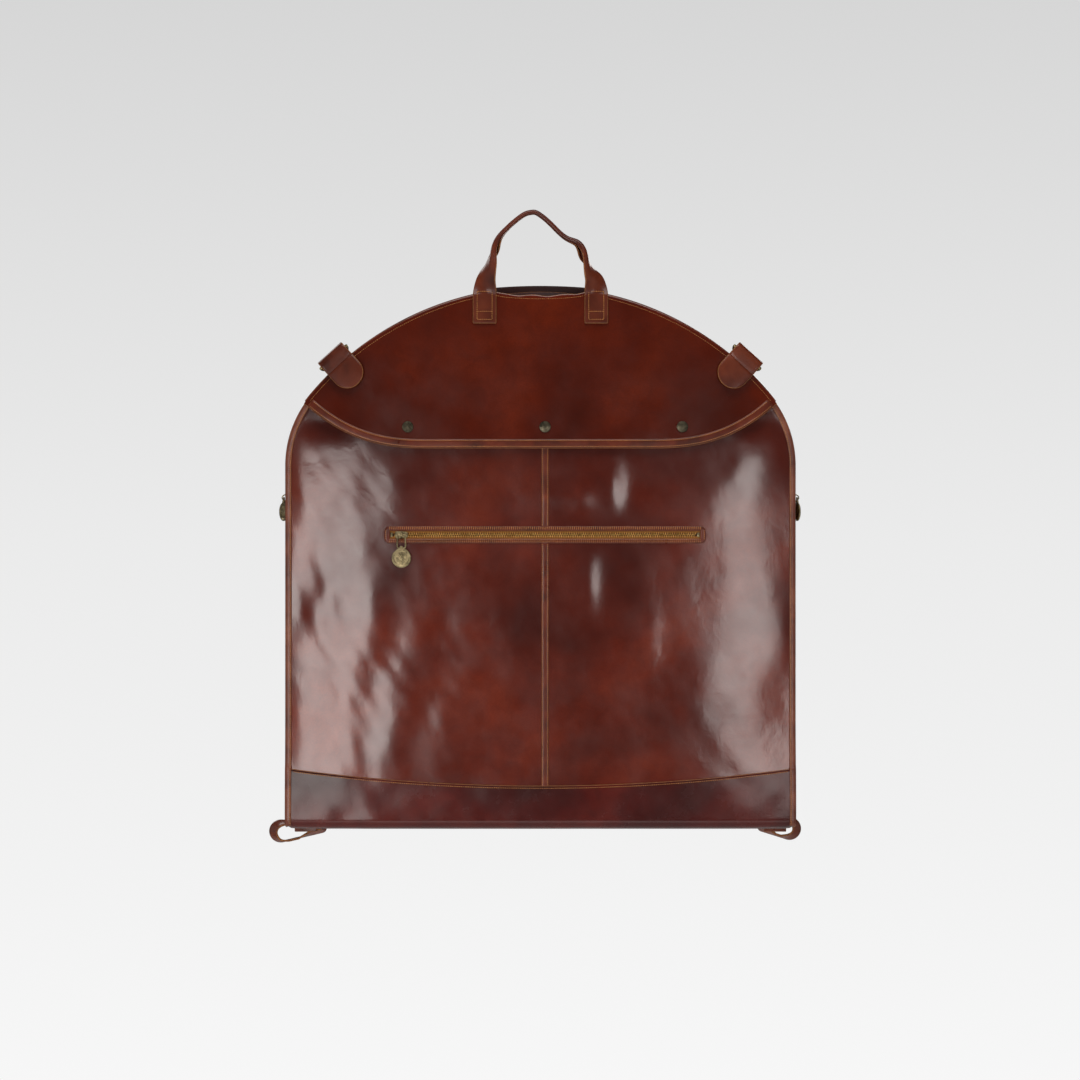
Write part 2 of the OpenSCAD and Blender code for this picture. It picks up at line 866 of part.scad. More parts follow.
front_panel_left();
front_panel_right();
front_seam_strip();
bottom_band_front();
edge_binding_left();
edge_binding_right();
arch_binding();
yoke();
gusset_left();
gusset_right();
pocket_back_wall();
inner_wall_front();
snap_studs();
pocket_zip_welt();
pocket_zip_tapes();
pocket_zip_chain();
pocket_zip_stops();
zip_pocket_pouch();
handle_foot_left();
handle_foot_right();
ring_tab_left();
ring_tab_right();
side_zip_front_left();
side_zip_front_right();
main_zip_tapes();
main_zip_chain();
flap_lip();
flap_edge_strip();
snap_caps();
snap_sockets();
handle_strap();
handle_core();
ring_left();
ring_right();
pocket_zip_slider();
pocket_zip_pull();
main_zip_slider();
main_zip_pull();
side_zip_slider_left();
side_zip_slider_right();
side_zip_pull_left();
side_zip_pull_right();
rear_panel();
rear_inner_wall();
bottom_band_rear();
rear_binding();
rear_gusset_left();
rear_gusset_right();
rear_gusset_top();
side_zip_rear_left();
side_zip_rear_right();
corner_loop_left();
corner_loop_right();
loop_tab_left();
loop_tab_right();
loop_rivets();
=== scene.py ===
"""Looks of a folding leather garment bag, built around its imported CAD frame.

Shapes are worked out in millimetres in the bag's own axes: x right, y back, z up, with z = 0 at the
fold and y = 0 between the halves. row() turns them into the shared frame's metres.
"""

import math

import bpy
import numpy as np
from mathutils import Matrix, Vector


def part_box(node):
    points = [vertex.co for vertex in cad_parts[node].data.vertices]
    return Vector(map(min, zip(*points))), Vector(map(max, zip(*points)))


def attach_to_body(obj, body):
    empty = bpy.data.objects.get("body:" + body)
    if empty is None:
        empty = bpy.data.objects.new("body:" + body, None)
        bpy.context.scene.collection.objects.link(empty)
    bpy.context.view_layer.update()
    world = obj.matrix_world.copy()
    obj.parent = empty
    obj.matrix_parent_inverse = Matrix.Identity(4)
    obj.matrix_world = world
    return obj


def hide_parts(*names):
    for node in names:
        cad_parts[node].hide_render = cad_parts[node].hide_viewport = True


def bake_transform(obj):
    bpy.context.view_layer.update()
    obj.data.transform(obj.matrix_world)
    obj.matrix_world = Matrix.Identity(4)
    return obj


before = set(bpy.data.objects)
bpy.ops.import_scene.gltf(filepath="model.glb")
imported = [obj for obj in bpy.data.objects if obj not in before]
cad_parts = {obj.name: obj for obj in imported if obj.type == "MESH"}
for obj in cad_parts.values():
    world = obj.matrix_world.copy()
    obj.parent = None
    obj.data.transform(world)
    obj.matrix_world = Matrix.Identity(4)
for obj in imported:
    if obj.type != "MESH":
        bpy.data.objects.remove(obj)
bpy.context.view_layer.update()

MM = 0.001
FOLD_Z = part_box("bottom_band_rear")[0].z
MID_Y = (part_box("front_panel_left")[0].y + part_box("rear_panel")[1].y) / 2


def row(points):
    """Bag millimetres to the shared frame's metres."""
    return np.asarray(points, float) * MM + np.array([0, MID_Y, FOLD_Z])


def low(node):
    return (np.array(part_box(node)[0]) - np.array([0, MID_Y, FOLD_Z])) / MM


def high(node):
    return (np.array(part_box(node)[1]) - np.array([0, MID_Y, FOLD_Z])) / MM


# ---- sizes in millimetres, from the frame where it has them ----

SIDE_NAME = {-1: "left", 1: "right"}
FRONT = (0, -1, 0)
BACK = (0, 1, 0)

HALF_W = high("gusset_right")[0]
HALF_D = high("rear_panel")[1]
REAR_H = high("rear_gusset_top")[2]
WALL_INSET = 3.2
BODY_H = high("inner_wall_front")[2] + WALL_INSET
LEATHER_T = HALF_D - low("rear_panel")[1]
TRIM_T = 1.2
CROWN_R = 328.0
SHOULDER_R = 120.0
HEM_R = 60.0
FOLD_R = 18.0
FOLD_RISE = 13.0             # the bend begins this high, gently at first
BINDING_W = 7.0
SHOULDER_X = HALF_W - SHOULDER_R
CROWN_Z = BODY_H - CROWN_R
SHOULDER_Z = CROWN_Z + math.sqrt((CROWN_R - SHOULDER_R) ** 2 - SHOULDER_X**2)
JOIN_A = math.atan2(SHOULDER_Z - CROWN_Z, SHOULDER_X)

SEAM_X = (low("front_seam_strip")[0] + high("front_seam_strip")[0]) / 2
FLAP_Z = high("flap_lip")[2] + 0.5
FLAP_HALF_W = 257.0
FLAP_DROP = FLAP_Z - low("flap_lip")[2]
FLAP_STRIP_W = 9.5
LIP_LEVEL = 120.0            # the lip runs level this far out
CORNER_Z = 449               # height of the hollows under the flap's corners
FLAP_OUT = -low("yoke")[1] - HALF_D           # outer face of the flap, in front of the panels
SNAP_Z = (low("snap_caps")[2] + high("snap_caps")[2]) / 2
SNAP_GAP = 150.0
SNAP_AT = [SEAM_X + i * SNAP_GAP for i in (-1, 0, 1)]
POCKET_Z = (low("pocket_zip_welt")[2] + high("pocket_zip_welt")[2]) / 2
WELT_L = high("pocket_zip_welt")[0] - low("pocket_zip_welt")[0]
WELT_H = high("pocket_zip_welt")[2] - low("pocket_zip_welt")[2]
WALL_OUT = -low("inner_wall_front")[1]
WALL_IN = -high("inner_wall_front")[1]
POCKET_WALL_Y = high("pocket_back_wall")[1] - 1.5
PASSAGE_Z = low("inner_wall_front")[2]
HOOK_HALF_W = 54.0
FOOT_X = 61.0                # middle of each handle foot
FOOT_TOP = 592.0             # the handle leaves the yoke here
STRAP_HALF = 12.2
STRAP_T = 2.1
ROLL_R = 2.6                 # radius of the grip's two folds
HOOK_EDGE = 50.0             # half the width that the opening's edge dips over
SLOT_HALF_L = WELT_L / 2 - 6  # half the pocket's opening, which shows the zip
SLOT_HALF_H = 4.5
BAND_OUT = 1.9               # the band's face stands this far off the panels
REAR_BAND_Z = 60.0           # the rear half's band ends here
SIDE_RECESS = 10.0           # how far the leather sinks back at the sides
ARCH_RECESS = 3.2            # and along the arch

# Where leather runs from one body to the next: the bodies, then start and end in bag millimetres. Such pieces
# are baked in place and follow neither body.
FLAP_BEND = ("front_half", "flap", (0, 0, FLAP_Z + 4), (0, 0, FLAP_Z - 4))
FOLD_BEND = ("front_half", "rear_half", (0, -3, 0), (0, 3, 0))
HANDLE_Z = low("handle_strap")[2] + 1.2
HANDLE_BEND = ("front_half", "handle", (0, 0, HANDLE_Z - 3), (0, 0, HANDLE_Z + 5))


def turned_in(z):
    """How far the leather has gone back at height z where it bends under the fold."""
    drop = np.clip(1 - np.asarray(z, float) / FOLD_RISE, 0, 1)
    return FOLD_R * (1 - np.sqrt(1 - drop**2)) ** 1.35


# ---- mesh helpers ----

def xyz(x, y, z):
    """Points from their coordinates, any of which may be one number."""
    return np.stack(np.broadcast_arrays(x, y, z), -1)


def smooth(t):
    t = np.clip(t, 0, 1)
    return t * t * (3 - 2 * t)


def attach(obj, body):
    """Rides on one body; a piece given two bodies is only baked in place."""
    if isinstance(body, str):
        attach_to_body(obj, body)
    else:
        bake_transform(obj)


def piece(name, verts, faces, materials, body, slot, replaces=(), kinds=None):
    """A mesh object from bag millimetres, riding on its body."""
    mesh = bpy.data.meshes.new(name)
    mesh.from_pydata(row(verts).tolist(), [], [list(map(int, f)) for f in faces])
    for material in materials:
        mesh.materials.append(material)
    if kinds is not None:
        mesh.polygons.foreach_set("material_index", np.asarray(kinds, np.int32))
    mesh.polygons.foreach_set("use_smooth", np.ones(len(mesh.polygons), bool))
    mesh.validate()
    mesh.update()
    obj = placed(name, mesh)
    attach(obj, body)
    if replaces:
        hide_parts(*replaces)
    return obj


def grid_faces(n, m, keep=None, closed=False):
    """Quads of an n by m grid of points. keep says which cells stay; closed joins last row to first."""
    index = np.arange(n * m).reshape(n, m)
    if closed:
        index = np.vstack([index, index[:1]])
    cells = np.stack([index[:-1, :-1], index[1:, :-1], index[1:, 1:], index[:-1, 1:]], -1)
    return cells[keep] if keep is not None else cells.reshape(-1, 4)


def normals_of(verts, faces):
    total = np.zeros_like(verts)
    face = np.cross(verts[faces[:, 2]] - verts[faces[:, 0]], verts[faces[:, 3]] - verts[faces[:, 1]])
    for corner in range(4):
        np.add.at(total, faces[:, corner], face)
    return total / np.maximum(np.linalg.norm(total, axis=1, keepdims=True), 1e-9)


def thicken(verts, faces, thickness, bulge=0.3):
    """A closed sheet whose outer face is the given one, with rounded edges. Returns verts, faces, kinds,
    where kind 1 is the cut edge."""
    normals = normals_of(verts, faces)
    count = len(verts)
    a, b = faces.reshape(-1), np.roll(faces, -1, axis=1).reshape(-1)
    there = set(zip(a.tolist(), b.tolist()))
    rim = np.array([(i, j) for i, j in zip(a.tolist(), b.tolist()) if i != j and (j, i) not in there])
    along = verts[rim[:, 1]] - verts[rim[:, 0]]
    out_edge = np.cross(along, normals[rim[:, 0]])
    out = np.zeros_like(verts)
    np.add.at(out, rim[:, 0], out_edge)
    np.add.at(out, rim[:, 1], out_edge)
    edge = np.unique(rim)
    out = out[edge] / np.maximum(np.linalg.norm(out[edge], axis=1, keepdims=True), 1e-9)
    place = {int(v): k for k, v in enumerate(edge)}
    loops = [verts, verts - normals * thickness]
    levels = (0.18, 0.5, 0.82)
    for level in levels:
        lift = bulge * thickness * math.sin(math.pi * level)
        loops.append(verts[edge] - normals[edge] * thickness * level + out * lift)
    starts = [0, *[2 * count + k * len(edge) for k in range(len(levels))], count]
    rim_faces = []
    for k in range(len(levels) + 1):
        for i, j in rim.tolist():
            upper = (i + starts[0], j) if k == 0 else (starts[k] + place[i], starts[k] + place[j])
            last = k == len(levels)
            lower = (count + i, count + j) if last else (starts[k + 1] + place[i], starts[k + 1] + place[j])
            rim_faces.append((upper[1], upper[0], lower[0], lower[1]))
    every = np.vstack([faces, faces[:, ::-1] + count, np.array(rim_faces)])
    kinds = np.concatenate([np.zeros(2 * len(faces)), np.ones(len(rim_faces))])
    return np.vstack(loops), every, kinds


def leather_sheet(name, points, thickness, hide, body, slot, replaces=(), keep=None, closed=False, edge=None):
    """A closed sheet over a grid of outer points, its cut edge painted unless edge says otherwise."""
    faces = grid_faces(*points.shape[:2], keep, closed)
    verts, faces, kinds = thicken(points.reshape(-1, 3), faces, thickness)
    return piece(name, verts, faces, [hide, edge or edge_paint], body, slot, replaces, kinds)


def spread(count, edge):
    """Even steps from 0 to 1, with one extra tight step at each end."""
    t = np.linspace(0, 1, count)
    return np.concatenate([[0], [edge], t[1:-1], [1 - edge], [1]])


def crowded(half, count, edge, ease):
    """Points from -half to half that lie closer together near both ends."""
    t = 2 * spread(count, edge) - 1
    return half * np.sin(t * math.pi / 2 * ease) / math.sin(math.pi / 2 * ease)


def resample(line, step):
    """The same polyline with even steps; returns points and how far along each lies."""
    line = np.asarray(line, float)
    gaps = np.linalg.norm(np.diff(line, axis=0), axis=1)
    run = np.concatenate([[0], np.cumsum(gaps)])
    count = max(2, int(round(run[-1] / step)) + 1)
    at = np.linspace(0, run[-1], count)
    return np.stack([np.interp(at, run, line[:, k]) for k in range(line.shape[1])], 1), at


def curve_through(points, step):
    """A smooth curve through a few given points."""
    p = np.asarray(points, float)
    p = np.vstack([2 * p[0] - p[1], p, 2 * p[-1] - p[-2]])
    out = []
    for i in range(1, len(p) - 2):
        t = np.linspace(0, 1, 24, endpoint=False)[:, None]
        a, b, c, d = p[i - 1], p[i], p[i + 1], p[i + 2]
        square = (2 * a - 5 * b + 4 * c - d) * t**2
        cube = (3 * b - a - 3 * c + d) * t**3
        out.append(0.5 * (2 * b + (c - a) * t + square + cube))
    return resample(np.vstack([*out, p[-2:-1]]), step)[0]


def tangents(line):
    d = np.gradient(line, axis=0)
    return d / np.maximum(np.linalg.norm(d, axis=1, keepdims=True), 1e-9)


def unit(v):
    v = np.asarray(v, float)
    return v / np.maximum(np.linalg.norm(v, axis=-1, keepdims=True), 1e-9)


def tube_mesh(line, radius, sides=10, closed=False, side=(0, 1, 0)):
    """A round tube along a line. side is roughly across it."""
    t = tangents(line)
    if closed:
        t = unit(np.roll(line, -1, axis=0) - np.roll(line, 1, axis=0))
    b = unit(np.cross(t, np.asarray(side, float)))
    n = unit(np.cross(b, t))
    turn = np.linspace(0, 2 * math.pi, sides, endpoint=False)[None, :, None]
    ring = line[:, None] + radius * (np.cos(turn) * b[:, None] + np.sin(turn) * n[:, None])
    index = np.arange(len(line) * sides).reshape(len(line), sides)
    index = np.hstack([index, index[:, :1]])
    if closed:
        index = np.vstack([index, index[:1]])
    faces = np.stack([index[:-1, :-1], index[:-1, 1:], index[1:, 1:], index[1:, :-1]], -1).reshape(-1, 4)
    faces = faces.tolist()
    if not closed:
        faces.append(list(range(sides))[::-1])
        faces.append([(len(line) - 1) * sides + k for k in range(sides)])
    return ring.reshape(-1, 3), faces


def joined(parts):
    """Several (verts, faces) as one."""
    verts, faces, start = [], [], 0
    for v, f in parts:
        verts.append(v)
        faces.extend([[int(i) + start for i in q] for q in f])
        start += len(v)
    return np.vstack(verts), faces


def copies(template, centres, t, b, n):
    """The template's verts and faces at each centre, along axes t, b and n."""
    verts, faces = template
    v = (centres[:, None] + verts[None, :, 0:1] * t[:, None] + verts[None, :, 1:2] * b[:, None]
         + verts[None, :, 2:3] * n[:, None])
    k = len(verts)
    every = [[i + c * k for i in f] for c in range(len(centres)) for f in faces]
    return v.reshape(-1, 3), every


def rings_mesh(rings):
    """A closed solid through rings of equal length, capped at both ends."""
    k = len(rings[0])
    verts = np.vstack(rings)
    faces = []
    for i in range(len(rings) - 1):
        for j in range(k):
            a, b = i * k + j, i * k + (j + 1) % k
            faces.append([a, b, b + k, a + k])
    faces.append(list(range(k))[::-1])
    faces.append([(len(rings) - 1) * k + j for j in range(k)])
    return verts, faces


STITCH_RINGS = [(-0.5, 0.45, -0.7), (-0.34, 0.9, 0.15), (0, 1, 0.4), (0.34, 0.9, 0.15), (0.5, 0.45, -0.7)]


def stitch_template(length, radius):
    """One stitch of thread: thick in the middle, its ends pulled down into the leather."""
    turn = np.linspace(0, 2 * math.pi, 6, endpoint=False)
    rings = []
    for along, thick, height in STITCH_RINGS:
        y, z = np.cos(turn) * radius * thick, np.sin(turn) * radius * thick + height * radius
        rings.append(xyz(along * length, y, z))
    return rings_mesh(rings)


def stitches(name, lines, body, pitch=2.6, radius=0.32, slant=0.0, share=0.78):
    """Rows of stitches as one piece. lines are (points, outward normals) pairs."""
    template = stitch_template(pitch * share, radius)
    parts = []
    for points, outward in lines:
        outward = np.broadcast_to(np.asarray(outward, float), points.shape)
        both, _ = resample(np.hstack([points, outward]), pitch)
        line, n = both[:, :3], unit(both[:, 3:])
        centres = (line[:-1] + line[1:]) / 2
        t = unit(line[1:] - line[:-1])
        n = unit(n[:-1] + n[1:])
        slanted = t * math.cos(slant) + np.cross(n, t) * math.sin(slant)
        parts.append(copies(template, centres, slanted, np.cross(n, slanted), n))
    piece(name, *joined(parts), [thread], body, "edge_leather")


def sew_across(name, places, off, surface, body, pitch, radius, slant=0.0, share=0.78):
    """Rows of stitches on a soft surface that faces front, from (x, z) lines."""
    lines = [(on_front(np.stack(np.broadcast_arrays(x, z), 1), off, surface), FRONT) for x, z in places]
    stitches(name, lines, body, pitch, radius, slant, share)


# ---- outlines and the soft surfaces ----

def arch_top(x, inset=0.0):
    """Height of the arch's outline above x."""
    ax = np.abs(x)
    crown = CROWN_Z + np.sqrt(np.maximum((CROWN_R - inset) ** 2 - ax**2, 0))
    shoulder = SHOULDER_Z + np.sqrt(np.maximum((SHOULDER_R - inset) ** 2 - (ax - SHOULDER_X) ** 2, 0))
    return np.where(ax < (CROWN_R - inset) * math.cos(JOIN_A), crown, shoulder)


def arch_half(z, inset=0.0):
    """Half the bag's width at height z."""
    above = np.maximum(z - SHOULDER_Z, 0)
    shoulder = SHOULDER_X + np.sqrt(np.maximum((SHOULDER_R - inset) ** 2 - above**2, 0))
    join_z = CROWN_Z + (CROWN_R - inset) * math.sin(JOIN_A)
    crown = np.sqrt(np.maximum((CROWN_R - inset) ** 2 - (z - CROWN_Z) ** 2, 0))
    return np.where(z < join_z, shoulder, crown)


def arch_line(z_from, x_to, inset, step, side=1):
    """The outline from height z_from up and round to x_to, as x and z, with outward normals."""
    r1, r2 = SHOULDER_R - inset, CROWN_R - inset
    up = np.stack([np.full(60, HALF_W - inset), np.linspace(0, SHOULDER_Z, 60)], 1)
    a = np.linspace(0, JOIN_A, 60)[1:]
    shoulder = np.stack([SHOULDER_X + r1 * np.cos(a), SHOULDER_Z + r1 * np.sin(a)], 1)
    a = np.linspace(JOIN_A, math.acos(x_to / r2), 200)[1:]
    crown = np.stack([r2 * np.cos(a), CROWN_Z + r2 * np.sin(a)], 1)
    line = resample(np.vstack([up, shoulder, crown]), 0.5)[0]
    line = resample(line[line[:, 1] >= z_from], step)[0]
    t = tangents(line)
    out = np.stack([t[:, 1], -t[:, 0]], 1)
    return line * [side, 1], out * [side, 1]


def rear_line(inset, step, z_from):
    """The rear half's outline from bottom left, up, across the hem and down the right."""
    r = HEM_R - inset
    a = np.linspace(math.pi, math.pi / 2, 30)
    left = np.stack([HEM_R - HALF_W + r * np.cos(a), REAR_H - HEM_R + r * np.sin(a)], 1)
    line = np.vstack([[[inset - HALF_W, z_from]], left, left[::-1] * [-1, 1], [[HALF_W - inset, z_from]]])
    line = resample(line, step)[0]
    t = tangents(line)
    return line, np.stack([-t[:, 1], t[:, 0]], 1)


def ripples(x, z, seed, across, along, count=7):
    """Soft creases: a sum of waves that run mostly up the bag."""
    rng = np.random.default_rng(seed)
    total = np.zeros(np.broadcast(x, z).shape)
    for _ in range(count):
        kx = 2 * math.pi / (across * rng.uniform(0.7, 1.5)) * rng.choice([-1, 1])
        kz = 2 * math.pi / (along * rng.uniform(0.7, 1.6))
        bend = rng.uniform(3, 9) * np.sin(2 * math.pi * z / rng.uniform(120, 260) + rng.uniform(0, 6))
        total += np.sin(kx * (x + bend) + kz * z + rng.uniform(0, 6)) / count**0.5
    return total


def edge_gap(x, z):
    """How far a point of the front lies inside the outline."""
    ax = np.abs(x)
    side = HALF_W - ax
    crown = CROWN_R - np.hypot(ax, z - CROWN_Z)
    shoulder = SHOULDER_R - np.hypot(ax - SHOULDER_X, z - SHOULDER_Z)
    above = np.where(np.arctan2(z - CROWN_Z, np.maximum(ax, 1e-6)) > JOIN_A, crown, shoulder)
    return np.where(z < SHOULDER_Z, np.minimum(side, 200), above)


def recess(x, z):
    """How far the leather sinks back towards the side edges and the arch."""
    depth = SIDE_RECESS - (SIDE_RECESS - ARCH_RECESS) * smooth((z - 400) / 120)
    depth = depth * (0.45 + 0.55 * smooth((z - 18) / 110))
    reach = 135 - 65 * smooth((z - np.where(x > 0, 325, 400)) / 85)
    return depth * np.clip(1 - edge_gap(x, z) / reach, 0, 1) ** 2.2


def bump_at(x, z, cx, cz, wide, tall):
    """A smooth bump of height 1 round one place."""
    return np.exp(-(((x - cx) / wide) ** 2) - ((z - cz) / tall) ** 2)


def calm_at(x, z, places, wide, tall):
    """1 where the leather may wave, down to 0 at each place that is sewn or fastened."""
    calm = 1.0
    for cx, cz in places:
        calm = calm * (1 - bump_at(x, z, cx, cz, wide, tall))
    return calm


def fold_at(x, z, cx, cz, tall, height):
    """A soft fold: rises gently from the left and drops away on its right."""
    return height * bump_at(x, z, cx, cz, np.where(x < cx, 46, 14), tall)


# Folds on the right of the front: x and z of the middle, half height up the bag, and depth
FRONT_FOLDS = [(42, 360, 16, 1.9), (76, 376, 34, 2.3), (50, 276, 44, 2.2), (118, 205, 52, 0.9)]


def front_waves(x, z):
    """Creases of the empty bag: crumpled left, a few folds right, calm round the zip and snaps."""
    crumple = bump_at(x, z, -226, 235, 66, 240)
    lower = bump_at(x, z, -110, 150, 80, 110)
    waves = ripples(x, z, 3, 70, 170) * (0.07 + 0.34 * crumple + 0.12 * lower)
    waves += ripples(x, z, 5, 30, 60, 5) * (0.02 + 0.08 * crumple + 0.05 * lower)
    waves += ripples(x, z, 11, 190, 200) * 0.32
    waves += ripples(x, z, 19, 60, 70) * 0.16 * bump_at(x, z, 225, 110, 60, 70)
    waves += ripples(x, z, 23, 60, 50, 5) * 0.16 * smooth((75 - z) / 30)
    folds = sum(fold_at(x, z, *fold) for fold in FRONT_FOLDS)
    calm = 1 - 0.94 * np.exp(-(((z - POCKET_Z) / 20) ** 2)) * smooth((215 - np.abs(x - SEAM_X)) / 40)
    calm = calm * calm_at(x, z, [(sx, SNAP_Z) for sx in SNAP_AT], 22, 18)
    edge = smooth(edge_gap(x, z) / 16)
    return (waves - folds) * calm * (0.25 + 0.75 * edge)


def front_y(x, z):
    """The front leather's outer face, with a hollow under each corner of the flap."""
    under_flap = np.minimum(z, CORNER_Z)
    hollow = (3.6 * bump_at(x, under_flap, -236, CORNER_Z, 30, 17)
              + 2.4 * bump_at(x, under_flap, 240, CORNER_Z, 28, 15))
    return recess(x, z) + front_waves(x, z) + hollow * smooth(edge_gap(x, z) / 9) - HALF_D


def flap_lift(x, z):
    """The lip stands off between its snaps, and more at the corners."""
    near_lip = smooth((FLAP_Z - 4 - z) / 40)
    between = 0.5 - 0.5 * np.cos(2 * math.pi * (x - SEAM_X) / SNAP_GAP)
    inside = np.abs(x - SEAM_X) < 1.5 * SNAP_GAP
    corner = bump_at(x, z, -240, 450, 34, 26) * 5.0 + bump_at(x, z, 244, 450, 28, 22) * 2.6
    return near_lip * np.where(inside, 1.6 * between, 1.6) + corner


def flap_y(x, z):
    """The outer face of the yoke and the flap, which are one sheet."""
    base = recess(x, z) - HALF_D - FLAP_OUT
    own = ripples(x, z, 29, 150, 240) * 0.30
    calm = calm_at(x, z, [(sx, SNAP_Z) for sx in SNAP_AT], 20, 18)
    calm = calm * calm_at(x, z, [(-FOOT_X, 574), (FOOT_X, 574)], 24, 28)
    gap = smooth(edge_gap(x, z) / 20)
    return base - (own * calm + 0.4) * (0.3 + 0.7 * gap) + 0.4 - flap_lift(x, z) * calm


def rear_gap(x, z):
    """How far a point of the rear lies inside its outline."""
    ax = np.abs(x)
    cx, cz = HALF_W - HEM_R, REAR_H - HEM_R
    corner = HEM_R - np.hypot(np.maximum(ax - cx, 0), np.maximum(z - cz, 0))
    plain = np.minimum(HALF_W - ax, REAR_H - z)
    return np.where((ax > cx) & (z > cz), corner, plain)


def hem_top(x, inset):
    """Height of the rear half's outline above x."""
    r = HEM_R - inset
    round_part = np.sqrt(np.maximum(r**2 - (np.abs(x) - HALF_W + HEM_R) ** 2, 0))
    return REAR_H - HEM_R + np.where(np.abs(x) < HALF_W - HEM_R, r, round_part)


def rear_y(x, z):
    """The rear leather's outer face, flat near the fold where the corner loops lie."""
    depth = 8.0 * smooth((z - 60) / 120)
    sunk = depth * np.clip(1 - rear_gap(x, z) / 130, 0, 1) ** 2.2
    waves = (ripples(x, z, 41, 130, 240) * 0.9 + ripples(x, z, 43, 44, 380) * 0.45) * smooth((z - 70) / 60)
    return HALF_D - sunk - np.maximum(waves, -0.8) * 0.9 * smooth(rear_gap(x, z) / 18)


def lip_z(x):
    """Height of the flap's lower edge."""
    share = np.maximum(0, np.abs(x) - LIP_LEVEL) / (FLAP_HALF_W - LIP_LEVEL)
    return FLAP_Z - FLAP_DROP * (1 - np.minimum(share, 1) ** 2.6)


def mouth_z(x):
    """Top edge of the front panels, hidden behind the flap."""
    return np.clip(lip_z(x) + 12, FLAP_Z - 14, FLAP_Z + 2)


def band_z(x):
    """Top edge of the bottom band, a shallow smile."""
    return 48 + 19 * (x / HALF_W) ** 2


def hook_dip(x, depth):
    """How far the yoke's edge dips at the hook opening."""
    return depth * np.cos(np.clip(x / HOOK_EDGE, -1, 1) * math.pi / 2).clip(0, 1) ** 0.6


def on_front(line, off=0.0, surface=front_y):
    """x and z points laid on a soft surface, off millimetres in front of it."""
    return xyz(line[:, 0], surface(line[:, 0], line[:, 1]) - off, line[:, 1])


# ---- materials ----

class Shader:
    """Short calls for building one node material."""

    def __init__(self, name):
        self.material = bpy.data.materials.new(name)
        self.material.use_nodes = True
        self.tree = self.material.node_tree
        self.bsdf = self.tree.nodes["Principled BSDF"]
        self.coords = self.tree.nodes.new("ShaderNodeTexCoord").outputs["Object"]

    def add(self, kind, settings=None, **inputs):
        node = self.tree.nodes.new(kind)
        for key, value in (settings or {}).items():
            setattr(node, key, value)
        for key, value in inputs.items():
            self.feed(node.inputs[key.replace("_", " ")], value)
        return node

    def feed(self, socket, value):
        if isinstance(value, bpy.types.NodeSocket):
            self.tree.links.new(value, socket)
        else:
            socket.default_value = value

    def noise(self, scale, detail=4.0, rough=0.55, distortion=0.0):
        node = self.add("ShaderNodeTexNoise", Vector=self.coords, Scale=scale, Detail=detail, Roughness=rough,
                        Distortion=distortion)
        return node.outputs["Fac"]

    def voronoi(self, scale):
        return self.add("ShaderNodeTexVoronoi", Vector=self.coords, Scale=scale).outputs["Distance"]

    def wave(self, scale, direction, distortion=0.0, vector=None):
        node = self.add("ShaderNodeTexWave", {"bands_direction": direction}, Vector=vector or self.coords,
                        Scale=scale, Distortion=distortion)
        return node.outputs["Fac"]

    def ramp(self, value, stops):
        node = self.add("ShaderNodeValToRGB", Fac=value)
        spots = node.color_ramp.elements
        while len(spots) < len(stops):
            spots.new(0.5)
        for spot, (place, colour) in zip(spots, stops):
            spot.position = place
            spot.color = (*colour, 1)
        return node.outputs["Color"]

    def spread(self, value, low_in, high_in, low_out, high_out):
        node = self.add("ShaderNodeMapRange", Value=value, From_Min=low_in, From_Max=high_in, To_Min=low_out,
                        To_Max=high_out)
        return node.outputs["Result"]

    def mix(self, share, a, b):
        node = self.add("ShaderNodeMix", {"data_type": "RGBA"})
        for index, value in ((0, share), (6, a), (7, b)):
            self.feed(node.inputs[index], (*value, 1) if isinstance(value, tuple) else value)
        return node.outputs[2]

    def bump(self, height, strength, distance, under=None):
        node = self.add("ShaderNodeBump", Height=height, Strength=strength, Distance=distance)
        if under is not None:
            self.feed(node.inputs["Normal"], under)
        return node.outputs["Normal"]

    def finish(self, colour, rough, normal=None, **constants):
        self.feed(self.bsdf.inputs["Base Color"], colour)
        self.feed(self.bsdf.inputs["Roughness"], rough)
        if normal is not None:
            self.feed(self.bsdf.inputs["Normal"], normal)
        for key, value in constants.items():
            self.bsdf.inputs[key.replace("_", " ")].default_value = value
        return self.material


